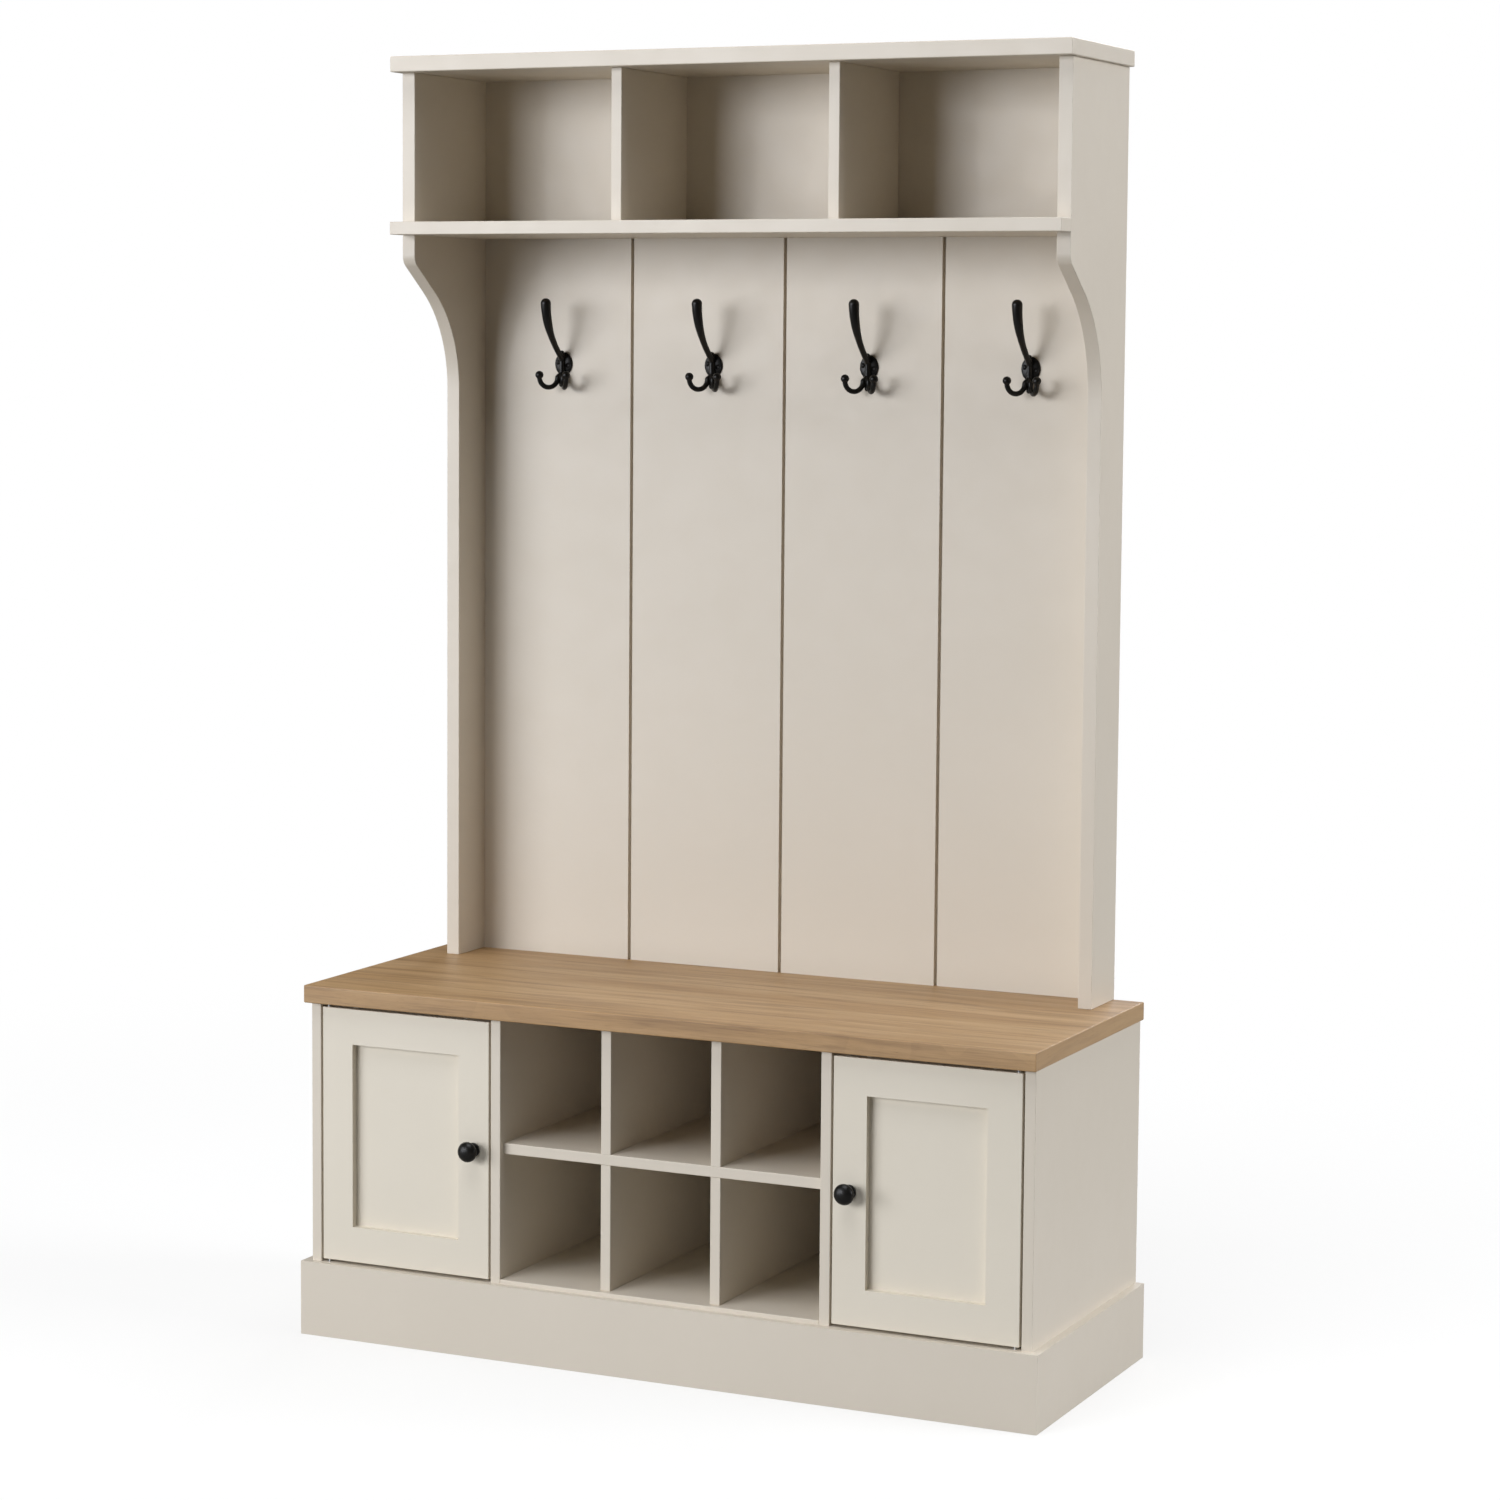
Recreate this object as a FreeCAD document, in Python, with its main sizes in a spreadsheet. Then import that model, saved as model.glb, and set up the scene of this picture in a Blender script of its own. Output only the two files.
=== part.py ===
# Hall tree: a storage bench with two doors and six open slots, and above it a panelled
# coat back with four triple hooks, a ledge and three cubbies.
# Frame: +Z up, +X to the right seen from the front, the front faces -Y.
# Origin: centre of the footprint, on the floor.  Millimetres.
import FreeCAD, Part
import math
import os
import Sketcher
from FreeCAD import Placement, Rotation, Vector

SIZES = [
    # overall
    ("total_height", 1800.0),
    ("carcass_w", 1086.0),        # base, outside its two end panels
    ("base_depth", 406.0),        # carcass front to the back
    ("bench_top_h", 500.0),       # seat surface above the floor
    # base boards
    ("base_board_t", 15.0),
    ("plinth_h", 105.0),
    ("plinth_t", 12.0),
    ("floor_top", 111.0),         # upper surface of the floor boards
    ("toe_rail_t", 18.0),
    ("base_back_t", 6.0),
    ("slot_bay_w", 482.0),        # clear width between the two partitions
    ("slot_setback", 10.0),       # slot grid behind the carcass front
    ("half_lap_clear", 0.1),      # side clearance of the crossed slot boards
    # seat board
    ("bench_t", 25.0),
    ("bench_over_side", 5.0),
    ("bench_over_front", 14.0),
    ("bench_edge_r", 1.8),
    ("edge_r", 1.0),              # eased edge of the painted boards
    # doors
    ("door_t", 20.0),
    ("door_gap", 3.0),            # beside the door
    ("door_gap_top", 6.0),
    ("door_gap_bottom", 4.0),     # above the plinth
    ("stile_w", 48.0),
    ("rail_w", 50.0),
    ("door_panel_t", 5.0),
    ("panel_recess", 11.0),       # panel face behind the frame face
    ("groove_depth", 8.0),
    ("panel_clear", 1.0),         # panel edge to the bottom of its groove
    ("door_swing_clear", 5.0),    # floor boards behind the closed door
    # door pivots, catches and knobs
    ("pivot_in", 7.5),            # pivot axis from the door's hinge edge
    ("pivot_back", 6.0),          # pivot axis behind the door's face
    ("pin_r", 2.5),
    ("pin_in_door", 25.0),
    ("pivot_clear", 0.05),        # radial running clearance in the bush
    ("bush_wall", 1.6),
    ("bush_l", 10.0),
    ("pin_end_clear", 0.5),
    ("strike_t", 1.5),
    ("strike_w", 14.0),
    ("strike_h", 34.0),
    ("catch_gap", 0.3),
    ("catch_w", 14.0),
    ("catch_d", 13.0),
    ("catch_h", 44.0),
    ("catch_below_bench", 24.0),
    ("knob_reach", 27.0),         # knob nose in front of the door face
    ("knob_head_r", 14.2),
    ("knob_head_t", 14.0),
    ("knob_crown", 7.3),          # rise of the domed nose above the rim
    ("knob_neck_r", 5.5),
    ("knob_foot_r", 10.0),
    ("knob_foot_t", 5.0),
    ("knob_screw_r", 2.0),
    ("knob_screw_grip", 11.0),
    ("screw_head_r", 3.8),
    ("screw_head_t", 2.2),
    # upper unit
    ("upper_step_in", 39.0),      # upper unit narrower than the base, each side
    ("upper_depth", 220.0),
    ("upright_depth", 92.0),
    ("upper_side_t", 20.0),
    ("cap_t", 22.0),
    ("cap_over_side", 7.0),
    ("cap_over_front", 23.0),
    ("cubby_h", 210.0),           # clear height between the ledge and the cap
    ("ledge_t", 18.0),
    ("ledge_lip", 36.0),          # ledge in front of the side panels
    ("cubby_divider_t", 16.0),
    ("back_board_t", 12.0),
    ("back_inset", 2.0),
    ("back_groove_w", 5.0),
    ("back_groove_d", 8.0),
    # ogee front edge of the upper sides
    ("ogee_drop", 29.0),          # straight edge below the ledge
    ("ogee_top_r", 18.0),
    ("ogee_hollow_r", 170.0),
    ("ogee_slope", 54.0),         # degrees from the vertical
    # hooks
    ("hook_drop", 181.0),         # plate centre below the underside of the ledge
    ("hook_shift", 10.0),         # plate centre right of its board's middle
    ("hook_plate_w", 28.0),
    ("hook_plate_h", 34.0),
    ("hook_plate_t", 5.0),
    ("hook_stem_r", 4.0),
    ("hook_stem_out", 7.0),       # stem axis in front of the back boards
    ("hook_stem_up", 16.0),
    ("hook_stem_down", 30.0),
    ("hook_prong_out", 57.0),     # upper prong's tip axis in front of the boards
    ("hook_prong_up", 87.1),
    ("hook_tip_r", 7.5),
    ("hook_neck_r", 4.2),
    ("hook_low_r", 3.6),
    ("hook_bend_r", 14.5),
    ("hook_low_start", 6.5),
    ("hook_low_z", 19.5),         # centre of the lower bends below the plate centre
    ("hook_ball_r", 6.0),
    ("hook_ball_up", 3.5),
    ("hook_splay", 38.0),         # degrees each lower prong turns outward
    ("hook_screw_x", 8.6),
    ("hook_screw_z", 2.5),
    ("hook_screw_r", 1.7),
    ("hook_screw_l", 10.0),
    ("hook_head_r", 3.0),
    ("hook_head_t", 1.6),
    # dowels
    ("dowel_r", 4.0),
    ("dowel_l", 30.0),
    ("dowel_inset", 60.0),
]


class Size:
    """A length held both as a sheet expression and as its present value."""

    def __init__(self, text, value):
        self.text = text
        self.value = float(value)

    @staticmethod
    def of(other):
        return other if isinstance(other, Size) else Size(repr(float(other)), other)

    def _with(self, sign, other, value):
        return Size("(%s %s %s)" % (self.text, sign, other.text), value)

    def __add__(self, other):
        other = Size.of(other)
        return self._with("+", other, self.value + other.value)

    def __sub__(self, other):
        other = Size.of(other)
        return self._with("-", other, self.value - other.value)

    def __mul__(self, other):
        other = Size.of(other)
        return self._with("*", other, self.value * other.value)

    def __truediv__(self, other):
        other = Size.of(other)
        return self._with("/", other, self.value / other.value)

    def __radd__(self, other):
        return Size.of(other) + self

    def __rsub__(self, other):
        return Size.of(other) - self

    def __rmul__(self, other):
        return Size.of(other) * self

    def __neg__(self):
        return Size.of(0) - self


doc = FreeCAD.newDocument("HallTree")
sheet = doc.addObject("Spreadsheet::Sheet", "Sizes")
size = {}
for row, (alias, number) in enumerate(SIZES, start=1):
    sheet.set("A%d" % row, alias)
    sheet.set("B%d" % row, str(number))
    sheet.setAlias("B%d" % row, alias)
    size[alias] = Size("Sizes.%s" % alias, number)
doc.recompute()

ZERO = Size.of(0)
nodes = []


def sine(angle):
    return Size("sin(%s * 1 deg)" % angle.text, math.sin(math.radians(angle.value)))


def cosine(angle):
    return Size("cos(%s * 1 deg)" % angle.text, math.cos(math.radians(angle.value)))


# ---- reference lines of the whole object -------------------------------------------------
back = (size["base_depth"] + size["knob_reach"]) / 2
front = back - size["base_depth"]                     # carcass and door faces
carcass_x = size["carcass_w"] / 2
inner_x = carcass_x - size["base_board_t"]            # inside of an end panel
bay_x = size["slot_bay_w"] / 2                        # slot side of a partition
partition_x = bay_x + size["base_board_t"]            # door side of a partition
base_h = size["bench_top_h"] - size["bench_t"]
floor_under = size["floor_top"] - size["base_board_t"]
base_inside_back = back - size["base_back_t"]
upper_x = carcass_x - size["upper_step_in"]
upper_in_x = upper_x - size["upper_side_t"]
upper_front = back - size["upper_depth"]
cap_under = size["total_height"] - size["cap_t"]
ledge_top = cap_under - size["cubby_h"]
ledge_under = ledge_top - size["ledge_t"]
hook_z = ledge_under - size["hook_drop"]
back_rear = back - size["back_inset"]
back_face = back_rear - size["back_board_t"]
door_x0 = partition_x + size["door_gap"]
door_x1 = inner_x - size["door_gap"]
door_w = door_x1 - door_x0
door_z0 = size["plinth_h"] + size["door_gap_bottom"]
door_z1 = base_h - size["door_gap_top"]
door_h = door_z1 - door_z0
pivot_x = door_x1 - size["pivot_in"]
pivot_y = front + size["pivot_back"]
bay_floor_front = front + size["door_t"] + size["door_swing_clear"]
knob_x = door_x0 + size["stile_w"] / 2
knob_z = (door_z0 + door_z1) / 2
bush_r = size["pin_r"] + size["pivot_clear"] + size["bush_wall"]
catch_z1 = base_h - size["catch_below_bench"]
catch_y = front + size["door_t"] + size["strike_t"] + size["catch_gap"]


# ---- building blocks ---------------------------------------------------------------------
def origin_plane(body, role):
    for item in body.Origin.OriginFeatures:
        if item.Role == role:
            return item
    raise RuntimeError("no plane " + role)


def new_body(label, x=ZERO, y=ZERO, z=ZERO):
    body = doc.addObject("PartDesign::Body", label)
    body.Label = label
    for axis, place in zip("xyz", (x, y, z)):
        body.setExpression("Placement.Base.%s" % axis, place.text)
    body.Placement = Placement(Vector(x.value, y.value, z.value), Rotation())
    nodes.append(body)
    return body


def new_sketch(body, role, name, lift=ZERO):
    sketch = body.newObject("Sketcher::SketchObject", body.Label + "_" + name)
    sketch.AttachmentSupport = [(origin_plane(body, role), "")]
    sketch.MapMode = "FlatFace"
    if lift is not ZERO:
        sketch.setExpression("AttachmentOffset.Base.z", lift.text)
    return sketch


def hold(sketch, item, corner, x, y):
    """Fix one point of a sketch at (x, y), by the axes where a coordinate is zero."""
    for kind, axis, place in (("DistanceX", -2, x), ("DistanceY", -1, y)):
        if place is ZERO:
            sketch.addConstraint(Sketcher.Constraint("PointOnObject", item, corner, axis))
            continue
        number = sketch.addConstraint(
            Sketcher.Constraint(kind, -1, 1, item, corner, place.value))
        sketch.setExpression("Constraints[%d]" % number, place.text)


def arc_between(a, b, radius, turn):
    """Arc from a to b; turn is +1 when it runs anticlockwise."""
    middle = (a + b) * 0.5
    chord = b - a
    side = Vector(-chord.y, chord.x, 0).normalize() * turn
    centre = middle + side * math.sqrt(max(radius ** 2 - (chord.Length / 2) ** 2, 0.0))
    bulge = middle - centre
    crown = centre + bulge.normalize() * radius if bulge.Length > 1e-6 else a
    return Part.Arc(a, crown, b)


def outline(sketch, corners):
    """Closed outline.  A corner is (x, y), or (x, y, radius, turn) where an arc leaves it."""
    spots = [Vector(c[0].value, c[1].value, 0) for c in corners]
    starts = []
    for i, corner in enumerate(corners):
        a, b = spots[i], spots[(i + 1) % len(spots)]
        if len(corner) == 2:
            item = sketch.addGeometry(Part.LineSegment(a, b), False)
            starts.append((item, 1, 2))
            continue
        item = sketch.addGeometry(arc_between(a, b, corner[2].value, corner[3]), False)
        starts.append((item, 1, 2) if corner[3] > 0 else (item, 2, 1))
    for i, (item, first, last) in enumerate(starts):
        follower = starts[(i + 1) % len(starts)]
        sketch.addConstraint(
            Sketcher.Constraint("Coincident", item, last, follower[0], follower[1]))
        hold(sketch, item, first, corners[i][0], corners[i][1])
        if len(corners[i]) > 2:
            number = sketch.addConstraint(
                Sketcher.Constraint("Radius", item, corners[i][2].value))
            sketch.setExpression("Constraints[%d]" % number, corners[i][2].text)


def pad(body, role, corners, length, flip=False, name="outline", lift=ZERO):
    sketch = new_sketch(body, role, name, lift)
    outline(sketch, corners)
    feature = body.newObject("PartDesign::Pad", body.Label + "_" + name + "_pad")
    feature.Profile = sketch
    feature.setExpression("Length", length.text)
    feature.Reversed = flip
    return feature


def cut(body, role, corners, depth, flip=False, name="cut", lift=ZERO):
    """Remove a prism from a body, and make sure that it took material away."""
    doc.recompute()
    before = body.Shape.Volume
    sketch = new_sketch(body, role, name, lift)
    outline(sketch, corners)
    feature = body.newObject("PartDesign::Pocket", body.Label + "_" + name + "_pocket")
    feature.Profile = sketch
    feature.setExpression("Length", depth.text)
    feature.Reversed = flip
    doc.recompute()
    if body.Shape.Volume > before - 1e-3:
        raise RuntimeError("nothing cut from %s by %s" % (body.Label, name))
    return feature


def drill(body, role, spots, radius, depth, flip=False, name="holes", lift=ZERO):
    """Round blind holes at the given points of a plane."""
    doc.recompute()
    before = body.Shape.Volume
    sketch = new_sketch(body, role, name, lift)
    for x, y in spots:
        item = sketch.addGeometry(
            Part.Circle(Vector(x.value, y.value, 0), Vector(0, 0, 1), radius.value), False)
        hold(sketch, item, 3, x, y)
        number = sketch.addConstraint(Sketcher.Constraint("Radius", item, radius.value))
        sketch.setExpression("Constraints[%d]" % number, radius.text)
    feature = body.newObject("PartDesign::Pocket", body.Label + "_" + name + "_pocket")
    feature.Profile = sketch
    feature.setExpression("Length", depth.text)
    feature.Reversed = flip
    doc.recompute()
    if body.Shape.Volume > before - 1e-3:
        raise RuntimeError("nothing drilled in %s by %s" % (body.Label, name))
    return feature


def ease(body, feature, radius, wanted=None):
    """Rounds every edge of a block, or only the edges whose middle is wanted."""
    fillet = body.newObject("PartDesign::Fillet", body.Label + "_eased")
    if wanted:
        doc.recompute()
        fillet.Base = (feature, ["Edge%d" % i for i, edge in
                                 enumerate(feature.Shape.Edges, start=1)
                                 if wanted(edge.CenterOfMass)])
    else:
        fillet.Base = (feature, [""])
        fillet.UseAllEdges = True
    fillet.setExpression("Radius", radius.text)
    return fillet


def rectangle(w, d):
    return [(ZERO, ZERO), (w, ZERO), (w, d), (ZERO, d)]


def span(a, b):
    """Corners of a rectangle from point a to point b."""
    return [(a[0], a[1]), (b[0], a[1]), (b[0], b[1]), (a[0], b[1])]


def board(label, low, high, radius=size["edge_r"]):
    """Rectangular board between two opposite corners, with eased edges."""
    body = new_body(label, *low)
    w, d, h = (b - a for a, b in zip(low, high))
    feature = pad(body, "XY_Plane", rectangle(w, d), h)
    if radius is not None:
        ease(body, feature, radius)
    return body


def mirrored(side, low, high):
    """The same box on the side +1 (right) or -1 (left) of the middle plane."""
    if side > 0:
        return low, high
    return (-high[0], low[1], low[2]), (-low[0], high[1], high[2])


def solid(label, shape):
    """Sub-part with a ready-made shape, at the shape's own place."""
    place = shape.Placement
    item = doc.addObject("Part::Feature", label)
    item.Label = label
    item.Shape = shape
    item.Placement = place
    nodes.append(item)
    return item


SIDES = (("left", -1), ("right", 1))


# ---- base --------------------------------------------------------------------------------
def plinth():
    half = carcass_x + size["plinth_t"]
    body = new_body("plinth_front")
    pad(body, "XY_Plane",
        [(-half, front - size["plinth_t"]), (half, front - size["plinth_t"]),
         (carcass_x, front), (-carcass_x, front)], size["plinth_h"])
    for name, side in SIDES:
        body = new_body("plinth_" + name)
        corners = [(side * carcass_x, front), (side * half, front - size["plinth_t"]),
                   (side * half, back), (side * carcass_x, back)]
        pad(body, "XY_Plane", corners, size["plinth_h"])


def carcass():
    dowel = size["dowel_r"]
    depth = size["dowel_l"] / 2
    near = size["dowel_inset"]
    far = size["base_depth"] - size["dowel_inset"]
    middle = size["base_board_t"] / 2
    for name, side in SIDES:
        for label, low_x, high_x, rear in (("base_side_", inner_x, carcass_x, back),
                                           ("partition_", bay_x, partition_x,
                                            base_inside_back)):
            low, high = mirrored(side, (low_x, front, ZERO), (high_x, rear, base_h))
            body = board(label + name, low, high)
            drill(body, "XY_Plane", [(middle, near), (middle, far)], dowel, depth,
                  name="dowels", lift=base_h)
        low, high = mirrored(side, (partition_x, bay_floor_front, floor_under),
                             (inner_x, base_inside_back, size["floor_top"]))
        board("floor_" + name, low, high)
        low, high = mirrored(side, (partition_x, front, ZERO),
                             (inner_x, front + size["toe_rail_t"], size["plinth_h"]))
        body = board("toe_rail_" + name, low, high)
        spot = pivot_x - partition_x if side > 0 else inner_x - pivot_x
        drill(body, "XY_Plane", [(spot, size["pivot_back"])], bush_r, size["bush_l"],
              name="bush", lift=size["plinth_h"])
    board("floor_middle", (-bay_x, front, floor_under),
          (bay_x, base_inside_back, size["floor_top"]))
    board("toe_rail_middle", (-bay_x, front, ZERO),
          (bay_x, front + size["toe_rail_t"], floor_under))
    board("base_back", (-inner_x, base_inside_back, ZERO), (inner_x, back, base_h), None)


def slot_boards():
    t = size["base_board_t"]
    start = front + size["slot_setback"]
    depth = base_inside_back - start
    slot_w = (size["slot_bay_w"] - 2 * t) / 3
    height = base_h - size["floor_top"]
    shelf_z = (height - t) / 2
    clear = size["half_lap_clear"]
    for name, side in SIDES:
        low_x = side * (slot_w / 2 + t / 2) - t / 2
        body = board("slot_divider_" + name, (low_x, start, size["floor_top"]),
                     (low_x + t, base_inside_back, base_h))
        cut(body, "YZ_Plane", span((-t, shelf_z - clear), (depth / 2, shelf_z + t + clear)),
            t, flip=True, name="lap")
    body = board("slot_shelf", (-bay_x, start, size["floor_top"] + shelf_z),
                 (bay_x, base_inside_back, size["floor_top"] + shelf_z + t))
    for name, low_x in (("lap_left", slot_w), ("lap_right", 2 * slot_w + t)):
        cut(body, "XY_Plane", span((low_x - clear, depth / 2), (low_x + t + clear, depth + t)),
            t, flip=True, name=name)


def bench():
    half = carcass_x + size["bench_over_side"]
    start = front - size["bench_over_front"]
    body = board("bench_top", (-half, start, base_h), (half, back, size["bench_top_h"]),
                 size["bench_edge_r"])
    near = size["bench_over_front"] + size["dowel_inset"]
    far = size["bench_over_front"] + size["base_depth"] - size["dowel_inset"]
    lines = [s * (x - size["base_board_t"] / 2) for s in (-1, 1)
             for x in (carcass_x, partition_x)]
    drill(body, "XY_Plane", [(half + x, y) for x in lines for y in (near, far)],
          size["dowel_r"], size["dowel_l"] / 2, flip=True, name="dowels")
    drill(body, "XY_Plane",
          [(half + s * pivot_x, size["bench_over_front"] + size["pivot_back"])
           for s in (-1, 1)], bush_r, size["bush_l"], flip=True, name="bushes")
    drill(body, "XY_Plane", upper_dowel_spots(half, start), size["dowel_r"],
          size["dowel_l"] / 3, name="upper_dowels", lift=size["bench_t"])
    rod = Part.makeCylinder(size["dowel_r"].value, size["dowel_l"].value)
    pegs = []
    for x in lines:
        for y in (front + size["dowel_inset"], back - size["dowel_inset"]):
            peg = rod.copy()
            peg.translate(Vector(x.value, y.value, (base_h - size["dowel_l"] / 2).value))
            pegs.append(peg)
    solid("bench_dowels", Part.makeCompound(pegs))


def upper_dowel_spots(x_offset=ZERO, y_offset=ZERO):
    """Dowels under the two upper sides, relative to a board's own corner."""
    line = upper_x - size["upper_side_t"] / 2
    rows = (back - size["upright_depth"] * 0.25, back - size["upright_depth"] * 0.75)
    return [(x_offset + s * line, y - y_offset) for s in (-1, 1) for y in rows]


# ---- doors -------------------------------------------------------------------------------
def door(name, side):
    """Frame-and-panel door whose pivots are at its outer edge."""
    prefix = "door_%s_" % name
    groove0 = size["panel_recess"]
    groove1 = groove0 + size["door_panel_t"]
    deep = size["groove_depth"]
    w, t = size["stile_w"], size["door_t"]

    def stile(label, x0, groove_at_low_x):
        """Upright whose long inner edge is grooved for the panel and the rails."""
        low, _ = mirrored(side, (x0, front, door_z0), (x0 + w, front, door_z1))
        body = new_body(prefix + label, *low)
        feature = pad(body, "XY_Plane", rectangle(w, t), door_h)
        at_low = groove_at_low_x if side > 0 else not groove_at_low_x
        inner = 0 if at_low else w.value
        ease(body, feature, size["edge_r"], lambda mid: abs(mid.x - inner) > w.value / 4)
        edge = (-w, deep) if at_low else (w - deep, 2 * w)
        cut(body, "XY_Plane", span((edge[0], groove0), (edge[1], groove1)), door_h * 2,
            flip=True, name="groove", lift=-door_h / 2)
        return body

    hinge = stile("stile_hinge", door_x1 - w, True)
    pin_x = w - size["pivot_in"] if side > 0 else size["pivot_in"]
    spot = [(pin_x, size["pivot_back"])]
    drill(hinge, "XY_Plane", spot, size["pin_r"], size["pin_in_door"], flip=True,
          name="pin_low")
    drill(hinge, "XY_Plane", spot, size["pin_r"], size["pin_in_door"], name="pin_high",
          lift=door_h)
    lock = stile("stile_lock", door_x0, False)
    drill(lock, "XZ_Plane", [(w / 2, door_h / 2)], size["knob_screw_r"], t * 2,
          name="knob_hole", lift=t / 2)

    rail_l = door_w - 2 * w
    for label, z0, groove_up in (("rail_bottom", door_z0, True),
                                 ("rail_top", door_z1 - size["rail_w"], False)):
        low, _ = mirrored(side, (door_x0 + w, front, z0), (door_x1 - w, front, z0))
        body = new_body(prefix + label, *low)
        feature = pad(body, "XY_Plane", rectangle(rail_l, t), size["rail_w"])
        outer = 0 if groove_up else size["rail_w"].value
        ease(body, feature, size["edge_r"],
             lambda mid: abs(mid.z - outer) < t.value / 4
             and abs(mid.x - rail_l.value / 2) < rail_l.value / 4)
        rows = (size["rail_w"] - deep, size["rail_w"] * 2) if groove_up else (
            -size["rail_w"], deep)
        cut(body, "YZ_Plane", span((groove0, rows[0]), (groove1, rows[1])), rail_l * 2,
            flip=True, name="groove", lift=-rail_l / 2)
        tongue = (size["edge_r"], size["rail_w"] - deep) if groove_up else (
            deep, size["rail_w"] - size["edge_r"])
        doc.recompute()
        pad(body, "YZ_Plane", span((groove0, tongue[0]), (groove1, tongue[1])),
            rail_l + 2 * deep, name="tongue", lift=-deep)

    reach = deep - size["panel_clear"]
    low, high = mirrored(
        side,
        (door_x0 + w - reach, front + groove0, door_z0 + size["rail_w"] - reach),
        (door_x1 - w + reach, front + groove1, door_z1 - size["rail_w"] + reach))
    board(prefix + "panel", low, high, None)
    knob(prefix, side)
    pins(prefix, side)
    low, high = mirrored(
        side,
        (door_x0 + size["pivot_in"], front + t,
         catch_z1 - (size["catch_h"] + size["strike_h"]) / 2),
        (door_x0 + size["pivot_in"] + size["strike_w"], front + t + size["strike_t"],
         catch_z1 - (size["catch_h"] - size["strike_h"]) / 2))
    board(prefix + "strike", low, high, None)


def knob(prefix, side):
    """Turned mushroom knob on a flared foot, and the screw that holds it."""
    head_r, head_t = size["knob_head_r"], size["knob_head_t"]
    neck_r, foot_r = size["knob_neck_r"], size["knob_foot_r"]
    foot_t, reach = size["knob_foot_t"], size["knob_reach"]
    body = new_body(prefix + "knob", side * knob_x, front, knob_z)
    sketch = new_sketch(body, "XY_Plane", "profile")
    under = reach - head_t
    bore = size["knob_screw_r"]
    grip = size["knob_screw_grip"]
    crown = size["knob_crown"]
    dome_r = (head_r * head_r + crown * crown) / (crown * 2)
    outline(sketch, [
        (ZERO, -reach), (ZERO, -grip), (bore, -grip), (bore, ZERO), (foot_r, ZERO),
        (foot_r, -foot_t * 0.4), (neck_r, -foot_t), (neck_r, -under),
        (head_r, crown - reach + 1), (head_r, crown - reach, dome_r, -1)])
    turn = body.newObject("PartDesign::Revolution", prefix + "knob_turned")
    turn.Profile = sketch
    turn.ReferenceAxis = (sketch, ["V_Axis"])
    turn.Angle = 360.0
    shank = Part.makeCylinder(bore.value, (grip + size["door_t"]).value)
    head = Part.makeCylinder(size["screw_head_r"].value, size["screw_head_t"].value,
                             Vector(0, 0, (grip + size["door_t"]).value))
    screw = shank.fuse(head).removeSplitter()
    screw.rotate(Vector(0, 0, 0), Vector(1, 0, 0), -90)
    screw.translate(Vector(side * knob_x.value, (front - grip).value, knob_z.value))
    solid(prefix + "knob_screw", screw)


def pins(prefix, side):
    """Two pivot pins, standing out of the top and bottom ends of the hinge stile."""
    out_low = size["door_gap_bottom"] + size["bush_l"] - size["pin_end_clear"]
    out_high = size["door_gap_top"] + size["bush_l"] - size["pin_end_clear"]
    spots = ((door_z0 - out_low, out_low), (door_z1 - size["pin_in_door"], out_high))
    rods = [Part.makeCylinder(size["pin_r"].value, (size["pin_in_door"] + out).value,
                              Vector(side * pivot_x.value, pivot_y.value, low.value))
            for low, out in spots]
    solid(prefix + "pivot_pins", Part.makeCompound(rods))


def door_fittings():
    """Bushes that the pivot pins turn in, and the magnetic catches."""
    bore = (size["pin_r"] + size["pivot_clear"]).value
    tube = Part.makeCylinder(bush_r.value, size["bush_l"].value).cut(
        Part.makeCylinder(bore, size["bush_l"].value))
    rings = []
    for _, side in SIDES:
        for low in (size["plinth_h"] - size["bush_l"], base_h):
            ring = tube.copy()
            ring.translate(Vector(side * pivot_x.value, pivot_y.value, low.value))
            rings.append(ring)
    solid("pivot_bushes", Part.makeCompound(rings))
    for name, side in SIDES:
        low, high = mirrored(side, (partition_x, catch_y, catch_z1 - size["catch_h"]),
                             (partition_x + size["door_gap"] + size["catch_w"] +
                              size["pivot_in"], catch_y + size["catch_d"], catch_z1))
        board("catch_" + name, low, high, size["edge_r"])


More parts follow.
